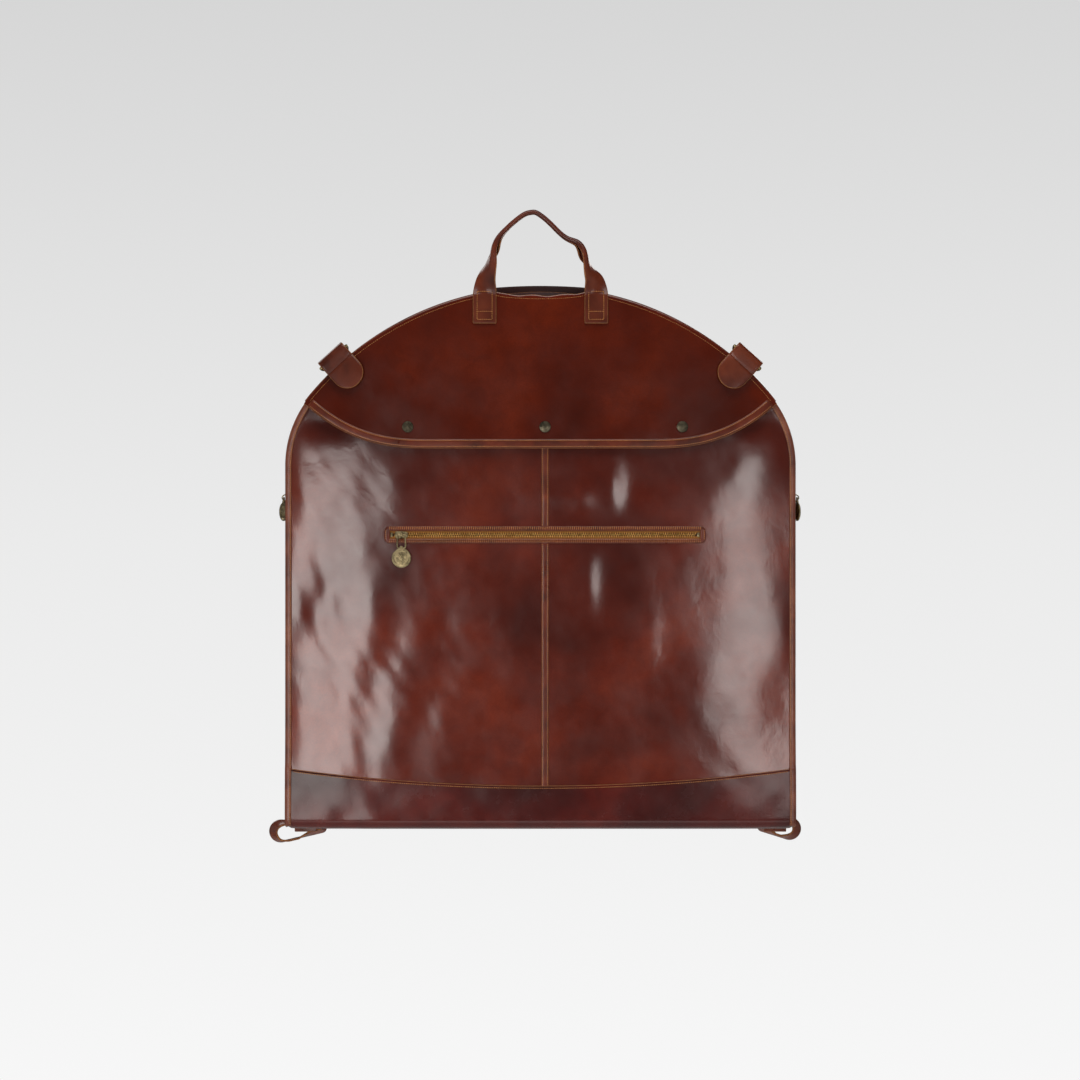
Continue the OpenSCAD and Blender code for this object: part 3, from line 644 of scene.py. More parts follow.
def leather(name, dark, mid, bright, rough=(0.16, 0.27), coat=0.45, grain=1.0, patch=7.0, painted_shade_heights=None,
            spec=0.5):
    """Waxed hide: broad patches of dye, fine mottling and grain, and a worn gloss. The optional heights in
    the bag are where the colour is painted darker towards the dark dye: painted shade under the flap."""
    s = Shader(name)
    colour = s.ramp(s.noise(patch, 3, 0.5, 0.3), [(0.30, dark), (0.50, mid), (0.74, bright)])
    # Painted shade: the colour darkens towards the dark dye between the two heights, standing in for the
    # flap's shadow.
    if painted_shade_heights:
        height = s.add("ShaderNodeSeparateXYZ", Vector=s.coords).outputs["Z"]
        low_z, high_z = (FOLD_Z + z * MM for z in painted_shade_heights)
        colour = s.mix(s.spread(height, low_z, high_z, 0.0, 0.75), colour, dark)
    cloudy = s.spread(s.noise(46, 6, 0.62, 0.5), 0.36, 0.66, 0.0, 0.34)
    colour = s.mix(cloudy, colour, dark)
    specks = s.spread(s.noise(520, 5, 0.7), 0.4, 0.75, 0.0, 0.35 * grain)
    colour = s.mix(specks, colour, dark)
    skin = s.bump(s.voronoi(1150), 0.22 * grain, 0.00006)
    skin = s.bump(s.noise(620, 5, 0.65), 0.25 * grain, 0.00008, skin)
    skin = s.bump(s.noise(120, 5, 0.6, 0.6), 0.20 * grain, 0.0003, skin)
    skin = s.bump(s.noise(40, 3, 0.5, 0.7), 0.15 * grain, 0.0011, skin)
    gloss = s.spread(s.noise(30, 5, 0.65), 0.3, 0.7, rough[0], rough[1])
    s.feed(s.bsdf.inputs["Coat Normal"], skin)
    return s.finish(colour, gloss, skin, Coat_Weight=coat, Coat_Roughness=0.09, Specular_IOR_Level=spec)


def raw_edge():
    s = Shader("cut_leather_edge")
    colour = s.ramp(s.noise(700, 4), [(0.3, (0.15, 0.048, 0.013)), (0.7, (0.40, 0.16, 0.045))])
    return s.finish(colour, 0.72, s.bump(s.noise(900, 4), 0.6, 0.00025))


def thread_material():
    s = Shader("golden_thread")
    colour = s.ramp(s.noise(520, 3), [(0.3, (0.26, 0.085, 0.020)), (0.7, (0.60, 0.26, 0.070))])
    return s.finish(colour, 0.62, s.bump(s.noise(2600, 3), 0.5, 0.0002))


def twill(name, dark, bright, thread_mm=0.55):
    """Diagonal weave of the lining."""
    s = Shader(name)
    turned = s.add("ShaderNodeMapping", Vector=s.coords, Rotation=(0.0, 0.72, 0.0)).outputs["Vector"]
    ribs = s.wave(0.32 / (thread_mm * MM), "X", 0.6, turned)
    across = s.wave(0.32 / (thread_mm * MM), "Z", 0.4)
    weave = s.add("ShaderNodeMath", {"operation": "MULTIPLY"})
    s.feed(weave.inputs[0], ribs)
    s.feed(weave.inputs[1], s.spread(across, 0, 1, 0.6, 1.0))
    height = weave.outputs[0]
    colour = s.mix(s.spread(height, 0, 1, 0.1, 0.9), dark, bright)
    colour = s.mix(s.spread(s.noise(9, 4), 0.35, 0.7, 0, 0.35), colour, dark)
    return s.finish(colour, 0.82, s.bump(height, 0.6, 0.00025), Sheen_Weight=0.25)


def tape_material():
    """Herringbone zip tape, golden brown."""
    s = Shader("zip_tape_weave")
    zig = s.wave(620, "DIAGONAL", 1.2)
    colour = s.mix(s.spread(zig, 0, 1, 0.15, 0.85), (0.30, 0.115, 0.022), (0.62, 0.28, 0.060))
    colour = s.mix(s.spread(s.noise(60, 4), 0.3, 0.7, 0, 0.35), colour, (0.24, 0.090, 0.020))
    return s.finish(colour, 0.8, s.bump(zig, 0.7, 0.0003))


def metal(name, dark, bright, rough=(0.22, 0.5), wear=90.0):
    """Brass with a patina in its hollows and specks."""
    s = Shader(name)
    patina = s.noise(wear, 6, 0.65, 0.6)
    colour = s.ramp(patina, [(0.32, dark), (0.56, bright)])
    gloss = s.spread(patina, 0.3, 0.65, rough[1], rough[0])
    dents = s.bump(s.noise(420, 4), 0.35, 0.00012)
    return s.finish(colour, gloss, dents, Metallic=1.0)


# Oxblood gets painted shade from 300 mm up, full at 440 mm and above: it stands in for the shadow under the
# flap.
oxblood = leather("oxblood_leather", (0.056, 0.0066, 0.0034), (0.140, 0.0168, 0.0066), (0.26, 0.034, 0.0090),
                  painted_shade_heights=(300, 440))
flap_hide = leather("flap_leather", (0.048, 0.0050, 0.0014), (0.094, 0.0092, 0.0019), (0.17, 0.0190, 0.0034),
                    spec=0.4)
strap_hide = leather("strap_leather", (0.055, 0.0085, 0.0025), (0.12, 0.020, 0.006), (0.20, 0.038, 0.011),
                     rough=(0.30, 0.42), coat=0.15, grain=0.0, patch=30, spec=0.35)
band_hide = leather("band_leather", (0.032, 0.0040, 0.0034), (0.082, 0.0080, 0.0060), (0.16, 0.018, 0.011),
                    rough=(0.20, 0.30), coat=0.12, grain=0.8, patch=9, spec=0.35)
seam_hide = leather("seam_strip_leather", (0.060, 0.009, 0.003), (0.14, 0.022, 0.008), (0.22, 0.040, 0.014),
                    rough=(0.26, 0.40), coat=0.1, patch=45, spec=0.35)
tan_hide = leather("tan_trim_leather", (0.09, 0.018, 0.008), (0.19, 0.048, 0.022), (0.30, 0.095, 0.045),
                   rough=(0.30, 0.45), coat=0.25, patch=45)
loop_hide = leather("loop_leather", (0.085, 0.015, 0.006), (0.18, 0.036, 0.014), (0.28, 0.062, 0.026),
                    rough=(0.28, 0.42), coat=0.2, patch=30)
inner_hide = leather("inner_leather", (0.024, 0.005, 0.004), (0.055, 0.012, 0.009), (0.09, 0.022, 0.014),
                     rough=(0.62, 0.8), coat=0.0, patch=20)
edge_paint = raw_edge()
thread = thread_material()
# Near-black and matt: painted shadow, for the sheet behind the hook's opening.
shadow_hide = leather("hook_painted_shadow_sheet", (0.020, 0.0030, 0.0022), (0.034, 0.0046, 0.0032),
                      (0.048, 0.007, 0.005), rough=(0.7, 0.85), coat=0.0, patch=20)
lining = twill("lining_twill", (0.10, 0.045, 0.02), (0.24, 0.13, 0.065))
tape = tape_material()
old_brass = metal("antique_brass", (0.095, 0.078, 0.044), (0.40, 0.33, 0.18), rough=(0.32, 0.52), wear=260)
snap_brass = metal("snap_brass", (0.018, 0.016, 0.011), (0.12, 0.105, 0.070), rough=(0.30, 0.55))
zip_brass = metal("zip_brass", (0.42, 0.22, 0.06), (0.88, 0.56, 0.18), rough=(0.26, 0.42), wear=160)


# ---- front half: panels, strip, band ----

def front_panel(side):
    """Half of the front below the flap, with an opening for the pocket zip."""
    name = SIDE_NAME[side]
    panel_w, foot, head = 270, 44, 468
    wide = panel_w * spread(90, 0.004)
    near = np.argmin(np.abs(wide - SLOT_HALF_L))
    wide[near] = SLOT_HALF_L
    below = np.linspace(foot, POCKET_Z - SLOT_HALF_H, 84)
    rows = np.concatenate([below, np.linspace(POCKET_Z + SLOT_HALF_H, head, 44)])
    past = (wide - SLOT_HALF_L) / (panel_w - SLOT_HALF_L)
    grid = np.zeros((len(wide), len(rows), 3))
    for j, z in enumerate(rows):
        half = arch_half(z, BINDING_W - 1.5) - side * SEAM_X
        reach = np.where(past <= 0, wide, SLOT_HALF_L + (half - SLOT_HALF_L) * past)
        x = SEAM_X + side * (0.1 + reach)
        level = z + (mouth_z(x) - head) * smooth((z - 400) / 68)
        level = np.maximum(level, band_z(x) - 9)
        grid[:, j] = xyz(x, front_y(x, level), level)
    keep = np.ones((len(wide) - 1, len(rows) - 1), bool)
    keep[:near, len(below) - 1] = False
    if side < 0:
        grid, keep = grid[::-1], keep[::-1]
    leather_sheet(f"front_panel_{name}_leather", grid, LEATHER_T, oxblood, "front_half", "panel_leather",
                  [f"front_panel_{name}"], keep)


def strip_on(name, path, width, height, body, replaces, surface, cells=6):
    """A narrow strip sewn along a line on a soft surface, its middle standing highest."""
    line = resample(path, 3.0)[0]
    t = tangents(line)
    across = np.stack([t[:, 1], -t[:, 0]], 1)
    grid = np.stack([on_front(line - across * s * width / 2, height * (1 - 0.55 * s**4), surface)
                     for s in np.linspace(-1, 1, cells + 1)], 1)
    leather_sheet(name, grid, height, seam_hide, body, "edge_leather", replaces)


def seam_strip():
    """The strip over the centre seam, below and above the pocket zip."""
    hidden = WELT_H / 2 - 0.6
    stretches = [(band_z(SEAM_X) - 2, POCKET_Z - hidden), (POCKET_Z + hidden, SNAP_Z - 8)]
    rows = []
    for k, (foot, top) in enumerate(stretches):
        strip_on(f"front_seam_strip_{k}", np.array([[SEAM_X, foot], [SEAM_X, top]]), 8.2, 1.2, "front_half",
                 ["front_seam_strip"] if k == 0 else [], front_y)
        rows += [(SEAM_X + dx, np.linspace(foot + 1, top - 1, 60)) for dx in (-2.9, 2.9)]
    sew_across("front_seam_stitches", rows, 1.2, front_y, "front_half", 2.2, 0.4, slant=0.2)


def band_section(x):
    """The band's outer face at x, from its front top edge, under the fold, to its rear top edge."""
    z = np.linspace(band_z(x), FOLD_RISE, 20)
    front = np.stack([front_y(x, z) - BAND_OUT, z], 1)
    y0 = front[-1, 0]
    a = np.linspace(0, math.pi / 2, 22)[1:]
    below = FOLD_RISE * (1 - np.sin(a))
    turn = np.stack([y0 + turned_in(below), below], 1)
    flat = np.linspace(y0 + FOLD_R, -3.2, 6)[1:]
    middle = np.concatenate([flat, np.linspace(-3, 3, 9)[1:-1], -flat[::-1]])
    under = np.stack([middle, np.zeros(len(middle))], 1)
    y1 = rear_y(x, np.array([FOLD_RISE]))[0]
    rear_turn = np.stack([y1 - turned_in(below), below], 1)[::-1]
    z = np.linspace(FOLD_RISE, REAR_BAND_Z, 12)
    rear = np.stack([rear_y(x, z), z], 1)
    return np.vstack([front, turn, under, rear_turn, rear])


def bottom_band():
    """One piece from the front's smile seam, under the fold, to the rear panel."""
    xs = (HALF_W - 1.2) * (2 * spread(110, 0.003) - 1)
    grid = []
    for x in xs:
        section = band_section(x)
        corner = max(0.0, abs(x) - (HALF_W - 9)) / 9
        lift = 5.0 * corner**2 * np.clip(1 - section[:, 1] / FOLD_RISE, 0, 1)
        grid.append(xyz(x, section[:, 0], section[:, 1] + lift))
    leather_sheet("bottom_band_leather", np.array(grid)[:, ::-1], LEATHER_T, band_hide, FOLD_BEND,
                  "panel_leather", ["bottom_band_front", "bottom_band_rear"])
    x = np.linspace(-HALF_W + 9, HALF_W - 9, 240)
    sew_across("bottom_band_stitches", [(x, band_z(x) - 2.2)], 1.95, front_y, "front_half", 2.4, 0.46)
    x = np.linspace(-HALF_W + 9, HALF_W - 9, 200)
    z = np.full(200, REAR_BAND_Z - 2.5)
    stitches("rear_band_stitches", [(xyz(x, rear_y(x, z) + 0.05, z), BACK)], "rear_half", 2.6, 0.32)


# ---- front half: yoke and flap, arch, bindings, gussets ----

def flap_point(share, rise):
    """A point of the yoke-and-flap sheet: share from -1 to 1 across, rise from the lip to the arch."""
    x_top = share * (arch_half(np.array(FLAP_Z), 0.6) - 0.2)
    z_top = arch_top(x_top, 0.6) - hook_dip(x_top, 9) - 0.9 * hook_dip(x_top, 1) * np.sin(x_top / 5.5)
    x_low = share * FLAP_HALF_W
    z_low = lip_z(x_low)
    x = x_low + (x_top - x_low) * rise
    z = z_low + (z_top - z_low) * rise
    return x, z


def yoke_and_flap():
    """One continuous sheet: sewn to the arch above, hanging free below."""
    share = 2 * spread(150, 0.002) - 1
    rise = spread(64, 0.006)
    grid = np.stack([on_front(np.stack(flap_point(share, r), 1), surface=flap_y) for r in rise], 1)
    leather_sheet("yoke_and_flap_leather", grid, LEATHER_T, flap_hide, FLAP_BEND, "panel_leather",
                  ["yoke", "flap_lip"])


def lip_path(inset, count, end):
    """A line along the flap's lower edge, inset millimetres up from it."""
    x = np.linspace(-FLAP_HALF_W + end, FLAP_HALF_W - end, count)
    z = lip_z(x)
    t = tangents(np.stack([x, z], 1))
    return np.stack([x - t[:, 1] * inset, z + t[:, 0] * inset], 1)


def flap_strip():
    """The strip along the flap's lower edge, with a stitch row at each side."""
    strip_on("flap_edge_strip_leather", lip_path(FLAP_STRIP_W / 2, 240, 2.5), FLAP_STRIP_W, TRIM_T, FLAP_BEND,
             ["flap_edge_strip"], flap_y, cells=9)
    rows = [lip_path(inset, 400, 4).T for inset in (1.5, FLAP_STRIP_W - 1.6)]
    sew_across("flap_edge_stitches", rows, 1.1, flap_y, FLAP_BEND, 2.2, 0.46, slant=0.12)


def arch_trim():
    """Round piping between the yoke and the gussets, and the yoke's stitch row inside it."""
    for side in (-1, 1):
        name = SIDE_NAME[side]
        line, _ = arch_line(FLAP_Z + 2, HOOK_HALF_W, 1.0, 2.5, side)
        piping = tube_mesh(on_front(line, -2.0, flap_y), 1.9)
        piece(f"arch_piping_{name}", *piping, [strap_hide], "front_half", "edge_leather",
              ["arch_binding"] if side < 0 else [])
        row_line, _ = arch_line(FLAP_Z + 3, HOOK_EDGE, 4.2, 2.5, side)
        sew_across(f"arch_stitches_{name}", [row_line.T], 0.0, flap_y, "front_half", 2.3, 0.32)
    x = np.linspace(-HOOK_EDGE + 1, HOOK_EDGE - 1, 60)
    sew_across("hook_edge_stitches", [(x, arch_top(x, 4.0) - hook_dip(x, 9))], 0.0, flap_y, "front_half", 2.3,
               0.34)


def bound_edge(name, line, out, step, rib, base, facing, section, replaces):
    """Ribbed binding round an edge. section gives outward and facing offsets, rib its height and pitch."""
    wave = rib[0] * np.sin(np.arange(len(line)) * step * 2 * math.pi / rib[1])
    grid = np.zeros((len(line), len(section), 3))
    for j, (outward, off) in enumerate(section):
        spot = line + out * (outward + (wave[:, None] if 2 <= j <= 7 else 0) * 0.6)
        swell = base(outward) + facing * (off + (wave if 1 <= j <= 6 else 0))
        grid[:, j] = xyz(spot[:, 0], swell, spot[:, 1])
    if facing < 0 and line[0, 0] > 0:
        grid = grid[:, ::-1]
    body = "front_half" if facing < 0 else "rear_half"
    leather_sheet(name, grid, 1.1, tan_hide, body, "edge_leather", replaces)


def edge_binding(side):
    """The binding of the front's side edge, with a tight stitch row at its inner edge."""
    name = f"edge_binding_{SIDE_NAME[side]}"
    line, out = arch_line(3.5, 200, 0, 0.7, side)
    line, out = line[line[:, 1] < FLAP_Z + 1], out[line[:, 1] < FLAP_Z + 1]
    section = [(-BINDING_W, 0.9), (-BINDING_W + 0.7, 1.35), (-4.8, 1.5), (-3, 1.6), (-1.6, 1.5), (-0.6, 1.0),
               (0.0, 0.1), (0.15, -1.2), (0.1, -3.0), (0.05, -5.0)]
    anchor = line - out * BINDING_W
    over_band = BAND_OUT * smooth((band_z(HALF_W) + 5 - line[:, 1]) / 6)
    base = front_y(anchor[:, 0], anchor[:, 1]) - over_band + turned_in(line[:, 1])
    bound_edge(f"{name}_leather", line, out, 0.7, (0.16, 2.1),
               lambda outward: base + 0.6 * smooth((outward + BINDING_W) / BINDING_W), -1, section, [name])
    inner = line - out * (BINDING_W - 1.3)
    spots = xyz(inner[:, 0], base - 1.45, inner[:, 1])
    stitches(f"{name}_stitches", [(spots, FRONT)], "front_half", 2.4, 0.48, slant=0.35)


def trough(name, line, out, outer, inner, sag, columns, body, replaces, flip):
    """A gusset: a shallow trough of leather from the half's face to its inner wall."""
    grid = np.zeros((len(line), columns, 3))
    for j, s in enumerate(np.linspace(0, 1, columns)):
        spot = line - out * (sag * math.sin(math.pi * s) + 0.4)[:, None]
        grid[:, j] = xyz(spot[:, 0], outer + (inner - outer) * s, spot[:, 1])
    if flip:
        grid = grid[:, ::-1]
    leather_sheet(name, grid, LEATHER_T * 0.8, oxblood, body, "panel_leather", replaces)


def gusset(side):
    """The front half's side and arch."""
    name = f"gusset_{SIDE_NAME[side]}"
    line, out = arch_line(3, HOOK_HALF_W, 0, 3.2, side)
    line, out = line[::-1], out[::-1]
    x, z = (line - out * BINDING_W).T
    face = np.where(line[:, 1] < FLAP_Z, front_y(x, z), flap_y(x, z) + 3.4) + turned_in(line[:, 1])
    crease = ripples(line[:, 1] * 1.3, line[:, 0], 51, 60, 300) * 0.5
    trough(f"{name}_leather", line, out, face + 0.6, -WALL_OUT - 0.8, 1.7 + crease, 9, "front_half", [name],
           side < 0)


# ---- inner walls and linings ----

def wall(name, y, facing, top, foot, half, hide, body, slot, replaces, thick=1.0, waves=0.3, seed=61,
         zip_slot=False, behind=None):
    """An upright sheet under a curved top, facing front (-1) or back (1), clear of a surface behind()."""
    x = crowded(half, 70, 0.003, 0.92)
    peak = float(top(np.array(0.0)))
    rows = np.linspace(foot, peak, 58)
    if zip_slot:
        zip_low, zip_high = low("main_zip_chain")[2] - 2, high("main_zip_chain")[2] + 2
        near = np.sort(np.argsort(np.abs(x))[:2])
        x[near] = -4.5, 4.5
        below, beside = np.linspace(foot, zip_low, 5), np.linspace(zip_low, zip_high, 50)[1:]
        rows = np.concatenate([below, beside, np.linspace(zip_high, peak, 6)[1:]])
    grid = np.zeros((len(x), len(rows), 3))
    for j, s in enumerate((rows - foot) / (rows[-1] - foot)):
        z = foot + s * (top(x) - foot)
        calm = smooth((np.abs(x) - 8) / 30) if zip_slot else 1.0
        deep = y + ripples(x, z, seed, 90, 300) * waves * calm
        if behind is not None:
            deep = np.maximum(deep, behind(x, np.minimum(z, FLAP_Z)) + LEATHER_T + 1.2)
        grid[:, j] = xyz(x, deep, z)
    keep = np.ones((len(x) - 1, len(rows) - 1), bool)
    if zip_slot:
        keep[near[0], len(below) - 1:len(below) + len(beside) - 1] = False
    if facing > 0:
        grid, keep = grid[::-1], keep[::-1]
    return leather_sheet(name, grid, thick, hide, body, slot, replaces, keep)


def hook_shadow_sheet():
    """A near-black sheet standing up behind the hook's opening, between the handle's feet: painted shadow of
    the bag's deep inside.
    """
    x = np.linspace(-57, 57, 40)
    top = BODY_H + 3.5 - 2.0 * (x / HOOK_EDGE) ** 2
    foot = arch_top(x, WALL_INSET) - 16
    grid = np.stack([xyz(x, 0.5 - WALL_IN, foot + (top - foot) * s) for s in np.linspace(0, 1, 12)], 1)
    leather_sheet("hook_painted_shadow_sheet", grid, 1.4, shadow_hide, "front_half", "edge_leather", edge=shadow_hide)


def inner_walls():
    """The walls that face each other across the fold, and the lining behind the front panels."""
    wall("inner_wall_front_leather", -WALL_IN, 1, lambda x: arch_top(x, WALL_INSET), PASSAGE_Z,
         HALF_W - WALL_INSET, inner_hide, "front_half", "panel_leather", ["inner_wall_front"], thick=1.2,
         waves=0.25, zip_slot=True)
    cloth = wall("rear_lining", WALL_IN, -1, lambda x: hem_top(x, WALL_INSET), PASSAGE_Z, HALF_W - WALL_INSET,
                 lining, "rear_half", "lining", ["rear_inner_wall"], seed=67)
    foot, half = 41, HALF_W - 2.6
    back = wall("pocket_lining", POCKET_WALL_Y, -1, lambda x: arch_top(x, 2.4) - hook_dip(x, 15), foot, half,
                lining, "front_half", "lining", ["pocket_back_wall"], seed=71, behind=front_y)


def pocket_floor():
    """The strip that joins the lining to the front panel's foot."""
    x = np.linspace(-HALF_W + 4, HALF_W - 4, 90)
    front = front_y(x, np.full(len(x), 44.0)) + LEATHER_T + 0.6
    grid = np.stack([xyz(x, front + (POCKET_WALL_Y - 0.2 - front) * s, 42.5 - 1.4 * math.sin(math.pi * s))
                     for s in np.linspace(0, 1, 8)], 1)
    cloth = leather_sheet("pocket_floor_lining", grid, 0.9, lining, "front_half", "lining")


def patch_grid(lo, hi, counts, edges):
    """x and z of a rectangular sheet's points between two corners."""
    x, z = (lo[k] + (hi[k] - lo[k]) * spread(count, edge) for k, count, edge in zip((0, 2), counts, edges))
    return np.meshgrid(x, z, indexing="ij")


def pouch():
    """Cloth pouch behind the pocket zip, sewn flat to the back of the front panel."""
    lo, hi = low("zip_pocket_pouch"), high("zip_pocket_pouch")
    x, z = patch_grid(lo, hi, (50, 36), (0.004, 0.006))
    rim = np.minimum(np.minimum(x - lo[0], hi[0] - x), np.minimum(z - lo[2], hi[2] - z))
    y = hi[1] - 0.3 - 3.0 * (1 - smooth(rim / 14)) + ripples(x, z, 83, 90, 120) * 0.25
    cloth = leather_sheet("zip_pocket_cloth", xyz(x, y, z)[::-1], 0.6, lining, "front_half", "lining",
                          ["zip_pocket_pouch"])


# ---- rear half ----

def rear_panel():
    """The rear half's outer leather, its foot tucked under the band."""
    inset = BINDING_W - 1.5
    x = crowded(HALF_W - inset, 90, 0.003, 0.9)
    top, foot = hem_top(x, inset), REAR_BAND_Z - 6
    rows = spread(100, 0.004)
    grid = np.zeros((len(x), len(rows), 3))
    for j, s in enumerate(rows):
        z = foot + s * (top - foot)
        tuck = REAR_BAND_Z - 2
        sunk = np.where(z < REAR_BAND_Z + 2, LEATHER_T * 0.9 * (1 - smooth((z - tuck) / 4)), 0)
        grid[:, j] = xyz(x, rear_y(x, z) - sunk, z)
    leather_sheet("rear_panel_leather", grid[::-1], LEATHER_T, oxblood, "rear_half", "panel_leather",
                  ["rear_panel"])


def rear_trim():
    """Binding round the rear half, and its side and hem gussets."""
    line, out = rear_line(0, 0.8, FOLD_R + 1)
    section = [(-BINDING_W, 0.5), (-BINDING_W + 0.7, 1.0), (-4.8, 1.2), (-3, 1.25), (-1.6, 1.1), (-0.6, 0.6),
               (0.0, -0.4), (0.1, -1.6), (0.05, -3.2), (0.0, -5.0)]
    base = rear_y(*(line - out * BINDING_W).T) - 0.4
    bound_edge("rear_binding_leather", line, out, 0.8, (0.14, 2.4), lambda outward: base, 1, section,
               ["rear_binding"])
    x, z = (line - out * (BINDING_W - 1.3)).T
    stitches("rear_binding_stitches", [(xyz(x, rear_y(x, z) + 0.75, z), BACK)], "rear_half", 2.4, 0.34,
             slant=0.3)
    line, out = rear_line(0, 3.2, 3)
    outer = rear_y(*(line - out * BINDING_W).T) - 1.0 - turned_in(line[:, 1])
    crease = ripples(line[:, 1] * 1.3, line[:, 0], 57, 60, 300) * 0.4
    trough("rear_gusset_leather", line, out, outer, WALL_OUT + 0.8, 1.3 + crease, 8, "rear_half",
           ["rear_gusset_left", "rear_gusset_right", "rear_gusset_top"], False)


# ---- zips ----

class Zip:
    """A zip drawn along its own x with its face towards its own z, in bag millimetres."""

    def __init__(self, origin, along, across, out):
        self.origin = np.asarray(origin, float)
        self.axes = np.array([along, across, out], float)

    def place(self, verts):
        return self.origin + np.asarray(verts, float) @ self.axes


TOOTH_PITCH = 2.5
# A tooth's rings: how far across the zip, half the width and half the height
TOOTH_RINGS = [(3.1, 0.62, 0.62), (1.6, 0.62, 0.72), (1.2, 0.42, 0.75), (0.55, 0.5, 0.8), (0.1, 0.62, 0.62),
               (-0.45, 0.4, 0.4)]
# The tape's section: how far across the zip, and its height
TAPE_PROFILE = [(1.6, -0.2), (1.9, 0.45), (2.4, 0.6), (3.0, 0.35), (3.6, -0.05), (5.0, 0.0), (6.6, 0.0),
                (8.0, -0.05)]
PULL_HEIGHT = 5.6


def tooth_template():
    """One eight-sided tooth, from its foot on the tape to its narrower head."""
    a = np.linspace(0, 2 * math.pi, 8, endpoint=False) + math.pi / 8
    return rings_mesh([xyz(np.cos(a) * wide, y, np.sin(a) * tall - 0.1) for y, wide, tall in TOOTH_RINGS])


def zip_teeth(z, name, side, length, body, replaces=()):
    """One row of teeth. The two rows are half a pitch apart."""
    count = int(length / TOOTH_PITCH)
    x = (np.arange(count) - (count - 1) / 2) * TOOTH_PITCH + side * TOOTH_PITCH / 4
    t, b, n = (np.tile(axis, (count, 1)) for axis in ((side, 0, 0), (0, side, 0), (0, 0, 1)))
    v, f = copies(tooth_template(), xyz(x, 0, 0), t, b, n)
    piece(name, z.place(v), f, [zip_brass], body, "zip_brass", replaces)


def zip_tape(z, name, side, length, body, replaces=()):
    """One tape, with the thick cord along its edge that the teeth grip."""
    x = np.linspace(-length / 2, length / 2, int(length / 4))
    grid = z.place(np.stack([xyz(x, side * across, up * 0.85 - 0.05) for across, up in TAPE_PROFILE], 1))
    grid = grid[::side]
    leather_sheet(name, grid, 0.55, tape, body, "lining", replaces, edge=tape)


def tape_and_teeth(z, zip_name, names, tape_length, teeth_length):
    """Both halves of a zip on the front half. The second of each pair replaces the CAD node."""
    for side, name in zip((-1, 1), names):
        second = side > 0
        zip_tape(z, f"{zip_name}_tape_{name}", side, tape_length, "front_half",
                 [f"{zip_name}_tapes"] if second else [])
        zip_teeth(z, f"{zip_name}_teeth_{name}", side, teeth_length, "front_half",
                  [f"{zip_name}_chain"] if second else [])


def plate_mesh(outline, z0, z1, bevel):
    """A bevelled plate from an outline in its own x and y."""
    outline = np.asarray(outline, float)
    centre = outline.mean(0)
    reach = np.linalg.norm(outline - centre, axis=1, keepdims=True)
    inner = centre + (outline - centre) * (1 - bevel / reach)
    levels = [(inner, z0), (outline, z0 + bevel * 0.8), (outline, z1 - bevel * 0.8), (inner, z1)]
    return rings_mesh([xyz(*o.T, z) for o, z in levels])


# A slider plate's half outline and a side guard, seen from above, and the bridge, seen from the side
SLIDER_HALF = [(7.0, 2.2), (6.6, 3.3), (5.0, 3.9), (1.5, 3.75), (-2.0, 3.2), (-5.6, 3.0), (-6.8, 2.3)]
GUARD = [(4.6, 3.55), (4.6, 4.0), (-5.2, 3.35), (-5.2, 2.9)]
BRIDGE = [(-3.6, 2.1), (-3.3, 4.6), (-1.8, 6.9), (0, 7.6), (1.8, 6.9), (3.3, 4.6), (3.6, 2.1)]


def zip_slider(z, name, at, body, node, turn, flip=1):
    """Two shaped plates, a post between the rows, side guards and an arched bridge for the pull."""
    outline = SLIDER_HALF + [(x, -y) for x, y in SLIDER_HALF[::-1]]
    plates = [plate_mesh(outline, foot, foot + 1.2, 0.35) for foot in (1.2, -3.0)]
    post = plate_mesh([(6.6, -0.5), (6.6, 0.5), (2.4, 0.25), (2.4, -0.25)], -1.9, 1.3, 0.1)
    guards = [plate_mesh([(x, side * y) for x, y in GUARD[::side]], 0.75, 1.4, 0.12) for side in (-1, 1)]
    arch = curve_through([(x, 0, up) for x, up in BRIDGE], 0.5)
    wide = np.array([1, 1.9, 1])
    if turn == 0:
        arch, wide = arch[:, [1, 0, 2]], np.array([1.9, 1, 1])
    bridge = tube_mesh(arch, 0.62, side=(0, 1, 0) if turn else (1, 0, 0))
    verts, faces = joined([*plates, post, *guards, (bridge[0] * wide, bridge[1])])
    verts = verts * [flip, 1, 1]
    if flip < 0:
        faces = [f[::-1] for f in faces]
    piece(name, z.place(verts + [at, 0, 0]), faces, [old_brass], body, "old_brass", [node])


# Rings of the medallion as shares of its radius
MEDALLION_RINGS = [0.04, 0.12, 0.2, 0.3, 0.4, 0.5, 0.6, 0.66, 0.72, 0.78, 0.82, 0.88, 0.94, 0.985, 1.0]


def medallion(radius):
    """A round pull: raised milled rim, a groove, and a plain twelve-petal rosette in relief."""
    a = np.linspace(0, 2 * math.pi, 96, endpoint=False)
    petals = np.abs(np.cos(6 * a)) ** 0.7
    upper = []
    for r in MEDALLION_RINGS:
        relief = 0.62 * petals * smooth((r - 0.14) / 0.2) * (1 - smooth((r - 0.5) / 0.14))
        boss = 0.70 * (1 - smooth((r - 0.1) / 0.12))
        rim = 0.85 * smooth((r - 0.74) / 0.1) * (1 - 0.75 * smooth((r - 0.93) / 0.07))
        milled = radius * (r + 0.006 * np.cos(48 * a) * (r > 0.9))
        upper.append(xyz(np.cos(a) * milled, np.sin(a) * milled, 0.442 + relief + boss + rim))
    lower = [u * [1, 1, -1] for u in upper[::-1]]
    return rings_mesh([*upper, *lower])


# The eye that joins a medallion to its link: height, and distance in front of the link
EYE = [(-0.9, -1.9), (1.6, -1.2), (2.0, 0), (1.6, 1.2), (-0.9, 1.5)]


